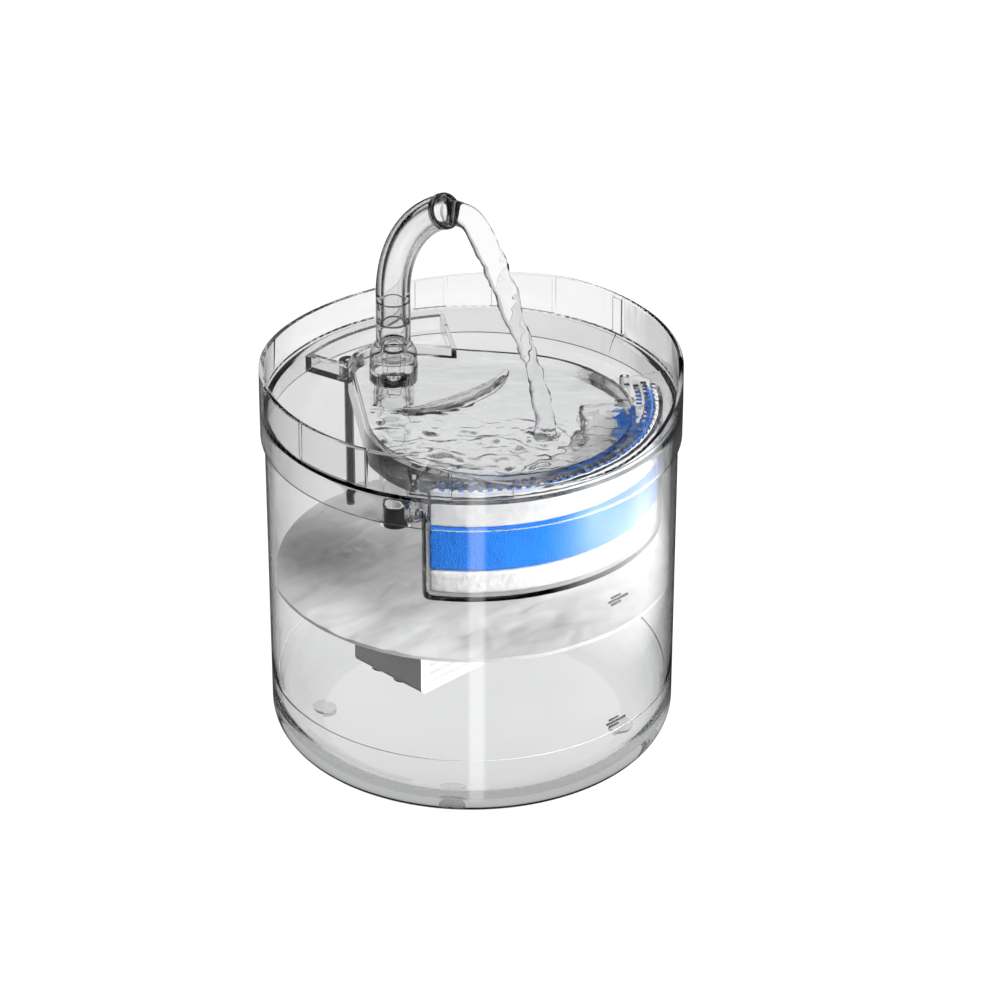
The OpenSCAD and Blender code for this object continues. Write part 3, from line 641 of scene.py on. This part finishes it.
def pick(obj, kind, test):
    """In edit mode, selects the faces or edges for which test is true, given their middle and the element."""
    bm = bmesh.from_edit_mesh(obj.data)
    for el in getattr(bm, kind):
        mid = el.calc_center_median() if kind == "faces" else (el.verts[0].co + el.verts[1].co) / 2
        if test(mid, el):
            el.select_set(True)
    bmesh.update_edit_mesh(obj.data)


def pick_points(obj, test, wanted=True):
    """In edit mode, selects the points for which test is true, or drops them from the selection."""
    bm = bmesh.from_edit_mesh(obj.data)
    for v in bm.verts:
        if test(v.co):
            v.select_set(wanted)
    bm.select_flush_mode()
    bmesh.update_edit_mesh(obj.data)


def bevel_edges(obj, width, segments, test):
    """Rounds the edges for which test is true; width in mm."""
    edit(obj)
    pick(obj, "edges", test)
    bpy.ops.mesh.bevel(offset=width * MM, segments=segments, profile=0.5, affect="EDGES", clamp_overlap=True)
    done()


def apply_all(obj):
    """Applies every modifier of an object."""
    activate(obj)
    for m in list(obj.modifiers):
        bpy.ops.object.modifier_apply(modifier=m.name)


def soften(obj, width, angle):
    """Rounds every edge that is sharper than an angle; width in mm."""
    m = obj.modifiers.new("soft edges", "BEVEL")
    m.width = width * MM
    m.segments = 2
    m.limit_method = "ANGLE"
    m.angle_limit = math.radians(angle)
    m.use_clamp_overlap = True
    apply_all(obj)


def cut(obj, tool, operation="DIFFERENCE"):
    """Cuts one solid with another, or joins them, and removes the second."""
    m = obj.modifiers.new("cut", "BOOLEAN")
    m.operation = operation
    m.solver = "EXACT"
    m.object = tool
    apply_all(obj)
    bpy.data.objects.remove(tool, do_unlink=True)


def tidy(obj, flat=None):
    """Merges doubles, joins flat faces if asked, and points every face outwards."""
    edit(obj)
    bpy.ops.mesh.select_all(action="SELECT")
    bpy.ops.mesh.remove_doubles(threshold=MERGE)
    if flat:
        bpy.ops.mesh.dissolve_limited(angle_limit=math.radians(flat))
    bpy.ops.mesh.normals_make_consistent(inside=False)
    done()


def smooth(obj, angle=35, weighted=True):
    """Smooth shading with sharp edges above an angle; weighted keeps large flat faces flat."""
    activate(obj)
    bpy.ops.object.shade_smooth_by_angle(angle=math.radians(angle))
    if weighted:
        m = obj.modifiers.new("flat faces", "WEIGHTED_NORMAL")
        m.mode = "FACE_AREA"
        m.weight = 100
        m.keep_sharp = True
        apply_all(obj)


def finish(obj, body, slot, material, *nodes):
    """Gives a piece its material and its body, and hides the frame's nodes that it stands for."""
    obj.data.materials.clear()
    obj.data.materials.append(material)
    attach(obj, body)
    if nodes:
        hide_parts(*nodes)
    return obj


def turn(name, profile, verts=96, at=(0, 0), closed=True):
    """A turned piece: a ring drawn out step by step along (radius, height) pairs in mm."""
    deselect()
    r, z = profile[0]
    place = (at[0] * MM, at[1] * MM, z * MM)
    bpy.ops.mesh.primitive_circle_add(vertices=verts, radius=r * MM, location=place)
    obj = start(bpy.context.object, name)
    edit(obj)
    bpy.ops.mesh.select_all(action="SELECT")
    steps = profile[1:] + ([profile[0]] if closed else [])
    for r1, z1 in steps:
        bpy.ops.mesh.extrude_region_move(TRANSFORM_OT_translate={"value": (0, 0, (z1 - z) * MM)})
        k = r1 / r
        bpy.ops.transform.resize(value=(k, k, 1), center_override=(at[0] * MM, at[1] * MM, z1 * MM))
        r, z = r1, z1
    done()
    tidy(obj)
    return obj


def rod(name, r, z0, z1, at=(0, 0), verts=96):
    """An upright round rod between two heights, in mm."""
    deselect()
    bpy.ops.mesh.primitive_cylinder_add(vertices=verts, radius=r * MM, depth=(z1 - z0) * MM,
                                        location=(at[0] * MM, at[1] * MM, (z0 + z1) / 2 * MM))
    return start(bpy.context.object, name)


def sector(name, r0, r1, z0, z1, half, steps=64, mid=-90, at=(0, 0)):
    """A solid ring sector in mm: an upright plate set at one end and spun about the axis to the other."""
    deselect()
    bpy.ops.mesh.primitive_plane_add(size=1, location=((r0 + r1) / 2 * MM, 0, (z0 + z1) / 2 * MM),
                                     rotation=(math.radians(90), 0, 0))
    obj = bpy.context.object
    obj.scale = ((r1 - r0) * MM, (z1 - z0) * MM, 1)
    start(obj, name)
    edit(obj, "FACE")
    bpy.ops.mesh.select_all(action="SELECT")
    bpy.ops.mesh.spin(steps=steps, angle=-math.radians(2 * half), center=(0, 0, 0), axis=(0, 0, 1))
    done()
    tidy(obj)
    return reshape(obj, mid - half, at)


def node_copy(name, node):
    """A loose copy of a frame node's mesh with its triangles merged."""
    src = frame["nodes"][node]
    mesh = src.data.copy()
    obj = bpy.data.objects.new(name, mesh)
    scene.collection.objects.link(obj)
    activate(obj)
    bpy.ops.mesh.customdata_custom_splitnormals_clear()
    tidy(obj, flat=FLAT)
    return obj


# ---------- tank ----------
def arc(cx, cz, r, a0, a1, steps):
    """Points of a round corner in a profile."""
    spots = [around(r, a0 + (a1 - a0) * i / steps) for i in range(steps + 1)]
    return [(cx + x, cz + z) for x, z in spots]


FOOT_BORE = 6                              # the ring from which the tank is turned; it is closed afterwards
STEP_LOW, STEP_HIGH, STEP_R = 28.9, 29.6, 80.5
LEVEL_MARKS, MARK_PITCH, MARK_SHIFT = (35.2, 92.2), 1.6, 1.375
MARK_LONG, MARK_DEEP, MARK_THICK = 11, 1.3, 0.8


def make_tank():
    """The clear tank: turned wall and floor, four pockets for the feet, and two raised level marks."""
    outer = ([(FOOT_BORE, 1.2), (40, 1.2)] + arc(67.9, WALL_Z, 14.5, -90, 0, 14)
             + [(82.42, 18), (82.65, 40), (83.1, 83), (83.55, 125), (83.78, 146)])
    lip = arc(83.0, 147.8, 0.8, 0, 180, 4)
    inner = ([(81.4, 147.4), (81.38, 146), (81.15, 125), (80.7, 83), (80.25, 40), (80.13, STEP_HIGH),
              (79.65, 29.0), (79.6, 28)] + arc(59.6, 24.2, 20, 0, -90, 14) + [(40, 4.2), (FOOT_BORE, 4.2)])
    obj = turn("tank_shell", outer + lip[:-1] + inner, 192, closed=False)
    edit(obj)
    pick(obj, "edges", lambda m, e: all(abs(v.co.xy.length - FOOT_BORE * MM) < MERGE for v in e.verts))
    bpy.ops.mesh.edge_face_add()
    done()
    for degrees in (38, 128, 218, 308):
        cut(obj, rod("pocket", 5.3, 0, 2, around(62.3, degrees), 48))
    for z in LEVEL_MARKS:
        wall = WALL_R + WALL_FLARE * (z - WALL_Z) / WALL_RISE
        for row in (-1, 0, 1):
            deselect()
            place = (-MARK_SHIFT * abs(row) * MM, (-wall + 0.3) * MM, (z + row * MARK_PITCH) * MM)
            bpy.ops.mesh.primitive_cube_add(size=1, location=place)
            mark = bpy.context.object
            mark.scale = ((MARK_LONG / (1 + abs(row))) * MM, MARK_DEEP * MM, MARK_THICK * MM)
            start(mark, "mark")
            soften(mark, 0.15, 30)
            cut(obj, mark, "UNION")
    tidy(obj)
    smooth(obj, 40)
    return finish(obj, "tank", "clear_plastic", TANK_PLASTIC, "tank")


def paint_tank(tank):
    """The flat faces of the floor have their own plastic; the step inside the wall is opaque white, a painted
    highlight line.
    """
    tank.data.materials.append(clear("tank base", CLEAR_TINT, ior=1.03, depth=18))
    # Painted highlight: the step's faces are opaque white, so the step shows as a bright line.
    tank.data.materials.append(moulded("step painted highlight", (0.94, 0.945, 0.95), 0.45))
    for face in tank.data.polygons:
        x, y, z = face.center / MM
        if z < 4.3 and abs(face.normal.z) > 0.99:
            face.material_index = 1
        elif STEP_LOW < z < STEP_HIGH and math.hypot(x, y) < STEP_R:
            face.material_index = 2


paint_tank(make_tank())


# ---------- tray ----------
RIDGE_R, RIDGE_AT = 45.0, (12, 54)


def make_ridge(z=BASIN_FLOOR, reach=3.2, high=6.0, half=41):
    """The curved ridge on the basin's floor: a spun bar, drawn in towards both ends and rounded on top."""
    steps, least = 40, 0.10
    obj = sector("ridge", RIDGE_R - reach, RIDGE_R + reach, z, z + high, half, steps)
    for i in range(steps + 1):
        a = -half + 2 * half * i / steps
        k = least
        if i not in (0, steps):
            k += (1 - least) * math.cos(math.radians(90 * a / half)) ** 0.6
        edit(obj, "VERT")
        pick_points(obj, lambda p: abs(math.degrees(math.atan2(p.y, p.x)) + 90 - a) < half / steps * 0.6)
        x, y = around(RIDGE_R, a - 90)
        bpy.ops.transform.resize(value=(k, k, k), center_override=(x * MM, y * MM, z * MM))
        done()

    def upper_edge(m, e):
        """The two long edges on top."""
        level = abs(e.verts[0].co.xy.length - e.verts[1].co.xy.length) < 0.3 * MM
        off_middle = abs(m.xy.length - RIDGE_R * MM) > 0.1 * MM
        if m.z <= (z + 0.3) * MM or not level or not off_middle or len(e.link_faces) != 2:
            return False
        return abs(e.link_faces[0].normal.z - e.link_faces[1].normal.z) > 0.5

    bevel_edges(obj, reach * 0.75, 4, upper_edge)
    return reshape(obj, -6, RIDGE_AT)


def make_tray():
    """The tray and its rim as one moulding, with a finer hollow ridge, grooved rim and rounded edges."""
    tray = node_copy("tray_shell", "tray")
    cut(tray, node_copy("rim", "tray_rim"), "UNION")
    cut(tray, sector("old_ridge", 42.6, 47.4, 139.4, 146, 38.5, 32, -96, RIDGE_AT))
    cut(tray, make_ridge(), "UNION")
    cut(tray, make_ridge(137.0, 1.9, 6.6, 36))
    for degrees in (172, 196, 219.5, 237, 1.5, -3, 21, 40, 52.6, 62, 118, 147):
        cut(tray, rod("groove", 0.9, 151.4, 172, around(83.3, degrees), 20))
    tidy(tray, flat=FLAT)
    soften(tray, 0.4, 35)
    smooth(tray, 35)
    return finish(tray, "tray", "clear_plastic", LOOKS["clear_plastic"], "tray", "tray_rim")


make_tray()


# ---------- faucet ----------
BEND_Z, BEND_R, BEND_END = 181.8, 54.0, 62.0     # where the neck's bend starts, its radius and its turn
NECK_R, NECK_WALL, NECK_FOOT = 7.07, 2.97, 180.0
PLUG_R, PLUG_LONG = 5.15, 10                     # the plug that the neck holds in the foot


def make_stem():
    """The turned foot of the faucet: a cup over the spigot, a shoulder and a collar that holds the neck."""
    outer = [(8.6, 139.9), (9.8, 139.9), (9.8, 155.6), (9.4, 157.0), (7.6, 160.4), (7.1, 161.8), (7.1, 179.9)]
    inner = [(5.2, 179.9), (5.2, 161.4), (4.6, 160.9), (4.6, 156.6), (8.2, 154.6), (8.6, 153.8)]
    obj = turn("faucet_foot", outer + inner, 72, (0, RISER_Y))
    soften(obj, 0.3, 25)
    smooth(obj, 35)
    return finish(obj, "faucet", "clear_plastic", FAUCET_PLASTIC, "faucet_stem")


def make_neck():
    """The gooseneck: a flat ring drawn up and spun round the bend, with a plug drawn down into the foot."""
    deselect()
    bpy.ops.mesh.primitive_circle_add(vertices=48, radius=NECK_R * MM, fill_type="NGON",
                                      location=(0, RISER_Y * MM, NECK_FOOT * MM))
    obj = start(bpy.context.object, "gooseneck")
    edit(obj, "FACE")
    bpy.ops.mesh.select_all(action="SELECT")
    bpy.ops.mesh.inset(thickness=NECK_WALL * MM)
    bpy.ops.mesh.delete(type="FACE")
    bpy.ops.mesh.select_all(action="SELECT")
    bpy.ops.mesh.extrude_region_move(TRANSFORM_OT_translate={"value": (0, 0, (BEND_Z - NECK_FOOT) * MM)})
    bpy.ops.mesh.spin(steps=32, angle=-math.radians(BEND_END), axis=(1, 0, 0),
                      center=(0, (RISER_Y - BEND_R) * MM, BEND_Z * MM))

    def extrude_lowest(dz):
        """Draws the lowest faces down."""
        bpy.ops.mesh.select_all(action="DESELECT")
        floor = min(v.co.z for v in bmesh.from_edit_mesh(obj.data).verts)
        pick(obj, "faces", lambda m, f: max(v.co.z for v in f.verts) < floor + MERGE)
        bpy.ops.mesh.extrude_region_move(TRANSFORM_OT_translate={"value": (0, 0, dz * MM)})

    # A first ring stays at the same height; its outer points are drawn in to the plug's radius.
    extrude_lowest(0)
    bpy.ops.mesh.select_mode(type="VERT")
    middle = NECK_R - NECK_WALL / 2
    pick_points(obj, lambda p: (p.xy - Vector((0, RISER_Y * MM))).length < middle * MM, wanted=False)
    k = PLUG_R / NECK_R
    bpy.ops.transform.resize(value=(k, k, 1), center_override=(0, RISER_Y * MM, NECK_FOOT * MM))
    bpy.ops.mesh.select_mode(type="FACE")
    extrude_lowest(-PLUG_LONG)
    done()
    tidy(obj)
    soften(obj, 0.3, 40)
    smooth(obj, 35)
    return finish(obj, "faucet", "clear_plastic", FAUCET_PLASTIC, "faucet_neck")


def make_mouth_ring():
    """The dark ring at the mouth: turned with a flared bore, then turned to the end of the bend."""
    profile = [(4.2, 0), (7.1, 0), (7.5, 0.4), (7.5, 2.5), (7.2, 2.95), (6.5, 2.95), (6.1, 2.6), (5.6, 1.4)]
    obj = turn("mouth_ring", profile, 72, (0, BEND_R))
    soften(obj, 0.2, 30)
    smooth(obj, 40)
    obj.rotation_euler = (math.radians(BEND_END), 0, 0)
    obj.location = (0, (RISER_Y - BEND_R) * MM, BEND_Z * MM)
    start(obj, "mouth_ring")
    return finish(obj, "faucet", "smoke_plastic", LOOKS["smoke_plastic"], "spout_ring")


make_stem()
make_neck()
make_mouth_ring()


# ---------- filter ----------
BOX_LOW, BOX_HIGH, BOX_HALF = 101.4, 136.4, 60
HOLLOW_LOW, HOLLOW_HALF = 103.0, 58.6
EAR_R, EAR_HALF = 66, 64.6


def end_edges(half, z0):
    """Test for the edges of a sector's two ends, upright or along its lower side."""
    def test(m, e):
        if min(v.co.z for v in e.verts) > (z0 + 0.4) * MM and abs(e.verts[0].co.z - e.verts[1].co.z) < 1e-6:
            return False
        turned = [abs(math.degrees(math.atan2(v.co.y, v.co.x)) + 90) for v in e.verts]
        return all(abs(t - half) < 0.3 for t in turned)
    return test


def make_filter_box():
    """The clear hanging box: a sector with round ends, hollowed out, with its lip and two ears."""
    box = sector("filter_case", 44.0, 77.4, BOX_LOW, BOX_HIGH, BOX_HALF, 24)
    bevel_edges(box, 3.6, 5, end_edges(BOX_HALF, BOX_LOW))
    hollow = sector("hollow", 45.6, 75.8, HOLLOW_LOW, 140, HOLLOW_HALF, 24)
    bevel_edges(hollow, 3.0, 5, end_edges(HOLLOW_HALF, HOLLOW_LOW))
    cut(box, hollow)
    cut(box, sector("lip", 75.7, 77.35, 135.0, 148.3, 57.5), "UNION")
    for side in (-1, 1):
        place = around(EAR_R, -90 + side * EAR_HALF)
        ear = rod("ear", 4, 131.4, BOX_HIGH, place, 32)
        cut(ear, sector("web", 64.2, 67.8, 131.6, 136.2, 2.6, 6, -90 + side * 61.6), "UNION")
        cut(ear, rod("eye", 2.1, 123.9, 143.9, place, 32))
        cut(box, ear, "UNION")
    tidy(box)
    soften(box, 0.4, 40)
    smooth(box, 35)
    return finish(box, "filter", "clear_plastic", LOOKS["clear_plastic"], "filter_box")


def ruffle(obj, strength, scale, group="", depth=2, axis="Z"):
    """Displaces the points by procedural clouds; strength and scale in mm."""
    tex = bpy.data.textures.new("ruffle", "CLOUDS")
    tex.noise_scale = scale * MM
    tex.noise_depth = depth
    m = obj.modifiers.new("ruffle", "DISPLACE")
    m.texture = tex
    m.strength = strength * MM
    m.direction = axis
    m.mid_level = 0.5
    m.vertex_group = group
    apply_all(obj)


def pad(name, node, material_slot, parts, cell, puff, nap):
    """A soft pad in mm, made of sectors given as (inner radius, outer radius, low, high, half angle): remeshed
    in fine cells, its edges slumped, its faces puffed and felted."""
    obj = None
    for args in parts:
        piece = sector(name if obj is None else name + "_lip", *args)
        if obj is None:
            obj = piece
        else:
            cut(obj, piece, "UNION")
    tidy(obj)
    m = obj.modifiers.new("cells", "REMESH")
    m.mode = "VOXEL"
    m.voxel_size = cell * MM
    apply_all(obj)
    m = obj.modifiers.new("slump", "SMOOTH")
    m.factor = 0.5
    m.iterations = 6
    apply_all(obj)
    ruffle(obj, puff, 11, axis="NORMAL")
    ruffle(obj, nap, 1.6, axis="NORMAL")
    smooth(obj, 80, weighted=False)
    finish(obj, "filter", material_slot, LOOKS[material_slot], node)
    return obj


make_filter_box()
pad("cotton_floor", "lower_cotton", "white_cotton", [(46.4, 75.15, 103.7, 113.55, 57.4)], 0.9, 0.5, 0.5)
pad("foam_block", "blue_sponge", "blue_foam",
    [(58.6, 75.25, 114.4, 133.7, 57.6), (72.25, 73.55, 133.0, 148.1, 57.2)], 0.6, 0.3, 0.3)
pad("media_bag", "media_pack", "white_cotton", [(46.4, 57.6, 114.5, 133.5, 57)], 0.9, 0.6, 0.4)
pad("cotton_top", "upper_cotton", "white_cotton", [(74.1, 75.35, 134.4, 148.1, 57.2)], 0.5, 0.15, 0.15)


# ---------- water ----------
def tank_water_look():
    """Grey, rippled surface: mostly milky, with painted shade towards the back wall and painted light and
    shade streaked along the ripples.
    """
    mat, tree, bsdf, out, vector = base("tank water")
    waves = noise_node(tree, scaled(tree, vector, (30, 95, 30), 45), 1.0, 4, 0.8)
    away = tree.nodes.new("ShaderNodeVectorMath")
    away.operation = "DISTANCE"
    link(tree, vector, away.inputs[0])
    # The point near the back wall round which the painted shade lies.
    away.inputs[1].default_value = (-38 * MM, 52 * MM, TANK_LEVEL * MM)
    away = math_node(tree, "MULTIPLY", away.outputs["Value"], 10)
    # Painted shade near that point, and painted light and shade streaked along the ripples.
    dark = ramp_node(tree, away, [(0.08, 0.46), (0.40, 1.0)])
    streak = ramp_node(tree, waves, [(0.28, 0.58), (0.55, 0.72), (0.78, 0.86)])
    tone = math_node(tree, "MULTIPLY", dark, streak)
    link(tree, grey_node(tree, tone), bsdf.inputs["Base Color"])
    bsdf.inputs["Roughness"].default_value = 0.06
    bsdf.inputs["IOR"].default_value = 1.33
    bsdf.inputs["Transmission Weight"].default_value = 0.30
    see_through(tree, bsdf, out)
    return mat


def water_sheet(name, size, cells, z_top, depth, centre, weight):
    """A slab of water in mm with a fine top; weight(x, y) says how far the ripples may move each point."""
    deselect()
    bpy.ops.mesh.primitive_grid_add(x_subdivisions=cells, y_subdivisions=cells, size=size * MM,
                                    location=(centre[0] * MM, centre[1] * MM, z_top * MM))
    obj = start(bpy.context.object, name)
    edit(obj, "FACE")
    bpy.ops.mesh.select_all(action="SELECT")
    bpy.ops.mesh.extrude_region_move(TRANSFORM_OT_translate={"value": (0, 0, -depth * MM)})
    done()
    tidy(obj)
    top = obj.vertex_groups.new(name="top")
    for v in obj.data.vertices:
        if v.co.z > (z_top - 0.01) * MM:
            top.add([v.index], weight(v.co.x / MM, v.co.y / MM), "REPLACE")
    return obj


def rings(obj, at, z_top, heights, pitch):
    """Circular ripples round a place in mm: each ring is pulled up or pushed down with a smooth fall-off."""
    for i, h in enumerate(heights):
        def on_ring(p):
            away = math.hypot(p.x / MM - at[0], p.y / MM - at[1])
            return p.z > (z_top - 1) * MM and abs(away - pitch * (i + 0.3)) < pitch * 0.24

        edit(obj, "VERT")
        pick_points(obj, on_ring)
        bpy.ops.transform.translate(value=(0, 0, h * MM), use_proportional_edit=True,
                                    use_proportional_connected=True, proportional_size=pitch * 0.62 * MM,
                                    proportional_edit_falloff="SMOOTH")
        done()


def make_tank_water():
    """The water's surface in the tank, rippled below the overflow, with the riser's hole."""
    obj = water_sheet("tank_water", 164, 130, TANK_LEVEL, 1.5, (0, 0), lambda x, y: 1.0)
    ruffle(obj, 1.1, 13, "top", 1)
    ruffle(obj, 0.5, 5, "top", 1)
    rings(obj, (-30, 38), TANK_LEVEL, (0.5, -0.4, 0.3, -0.2), 4.4)
    rings(obj, (-36, 6), TANK_LEVEL, (0.4, -0.3, 0.2), 4.0)
    cut(obj, rod("wall", 80.6, 70, 80, verts=160), "INTERSECT")
    cut(obj, rod("riser", 6.4, 70, 82, (0, RISER_Y)))
    tidy(obj)
    smooth(obj, 40, weighted=False)
    return finish(obj, "tank", None, tank_water_look())


WATER = clear("clear water", (0.99, 0.993, 0.996), ior=1.2, depth=5, edge=(0.60, 0.80, 0.03), coat=0.5)


def circle(name, r, y, verts):
    """A ring of points on the basin's floor, in mm."""
    deselect()
    bpy.ops.mesh.primitive_circle_add(vertices=verts, radius=r * MM, location=(0, y * MM, BASIN_FLOOR * MM))
    return start(bpy.context.object, name)


def make_basin_block():
    """The basin's room: the hull of the round bowl and the smaller round that holds the faucet, drawn up."""
    block = circle("outline", 53.15, BOWL_Y, 128)
    small = circle("small", 16.75, RISER_Y, 64)
    activate(block)
    small.select_set(True)
    bpy.ops.object.join()
    edit(block, "VERT")
    bpy.ops.mesh.select_all(action="SELECT")
    bpy.ops.mesh.extrude_region_move(TRANSFORM_OT_translate={"value": (0, 0, 14 * MM)})
    bpy.ops.mesh.select_all(action="SELECT")
    bpy.ops.mesh.convex_hull()
    done()
    tidy(block)
    return block


def make_basin_water():
    """The water in the basin: long waves, stronger towards negative x and y, and rings at the fall."""
    calm, slope, lengthened = 0.12, 50, 2

    def weight(x, y):
        return calm + (1 - calm) * max(0.0, min(1.0, (-x - y) / slope))

    obj = water_sheet("basin_water", 140, 150, BASIN_LEVEL, 10.8, (0, 1), weight)
    reshape(obj, 45)
    reshape(obj, stretched=(1 / lengthened, 1, 1))
    ruffle(obj, 4.2, 7, "top", 1)
    ruffle(obj, 2.3, 3.0, "top", 1)
    reshape(obj, stretched=(lengthened, 1, 1))
    reshape(obj, -45)
    rings(obj, (0, -42), BASIN_LEVEL, (0.4, -0.6, 0.5, -0.35, 0.25), 3.1)
    cut(obj, make_basin_block(), "INTERSECT")
    cut(obj, rod("cup", 9.95, 138, 156, (0, RISER_Y), 72))
    tidy(obj)
    smooth(obj, 50, weighted=False)
    return finish(obj, "tray", None, WATER)


def make_film():
    """The thin sheet of water that runs over the bowl's edge to the drain slots."""
    obj = water_sheet("overflow", 176, 150, 151.5, 0.75, (0, 0), lambda x, y: 1.0)
    ruffle(obj, 0.9, 7, "top", 1)
    ruffle(obj, 0.5, 2.8, "top", 1)
    cut(obj, sector("area", 40, 82.5, 150, 153, 62), "INTERSECT")
    cut(obj, rod("bowl", 53.3, 149, 154, (0, BOWL_Y)))
    tidy(obj)
    smooth(obj, 50, weighted=False)
    return finish(obj, "tray", None, WATER)


# The fall's middle line as (y, height, half width) in mm: up from the mouth, over and down to the basin.
STREAM = [
    (13.2, 230.4, 4.3), (11.0, 231.2, 5.1), (6.0, 232.0, 5.0), (0.6, 231.6, 5.1), (-4.6, 227.8, 5.3),
    (-10.2, 220.6, 5.3), (-16.9, 210.2, 5.0), (-23.1, 199, 4.2), (-30.0, 187.6, 3.6), (-34.3, 178.6, 3.4),
    (-38.3, 168.8, 3.5), (-41.1, 160, 3.8), (-42.2, 149.6, 4.6),
]
STREAM_FLAT, STREAM_TOP, STREAM_CALM = 0.92, 232, 18


def make_stream():
    """The falling water: a drawn curve with a round section, flattened, and ruffled more as it falls."""
    curve = bpy.data.curves.new("stream", "CURVE")
    curve.dimensions = "3D"
    curve.resolution_u = 10
    curve.bevel_depth = 1 * MM
    curve.bevel_resolution = 6
    curve.use_fill_caps = True
    line = curve.splines.new("BEZIER")
    line.bezier_points.add(len(STREAM) - 1)
    for point, (y, z, r) in zip(line.bezier_points, STREAM):
        point.co = (0, y * MM, z * MM)
        point.radius = r
        point.handle_left_type = point.handle_right_type = "AUTO"
    obj = bpy.data.objects.new("stream", curve)
    scene.collection.objects.link(obj)
    activate(obj)
    bpy.ops.object.convert(target="MESH")
    obj = bpy.context.object
    obj.name = obj.data.name = "stream"
    tidy(obj)
    loose = obj.vertex_groups.new(name="loose")
    for v in obj.data.vertices:
        share = max(0.0, min(1.0, (STREAM_TOP - v.co.z / MM) / STREAM_CALM))
        loose.add([v.index], share, "REPLACE")
    reshape(obj, stretched=(STREAM_FLAT, 1, 1))
    ruffle(obj, 3.0, 9, "loose", 1, "NORMAL")
    ruffle(obj, 1.6, 3.2, "loose", 1, "NORMAL")
    tidy(obj)
    smooth(obj, 60, weighted=False)
    look = clear("falling water", (0.985, 0.985, 0.985), ior=1.09, wave=0.1)
    return finish(obj, "faucet", None, look)


make_tank_water()
make_basin_water()
make_film()
make_stream()

PIPE_PLASTIC = clear("pipe plastic", CLEAR_TINT, ior=1.06, depth=4, edge=(0.70, 0.97, 0.15), coat=0.3)
frame["nodes"]["lead_guide"].data.materials[0] = LOOKS["smoke_plastic"]
for pipe in ("riser_spigot", "riser_tube"):
    frame["nodes"][pipe].data.materials[0] = PIPE_PLASTIC
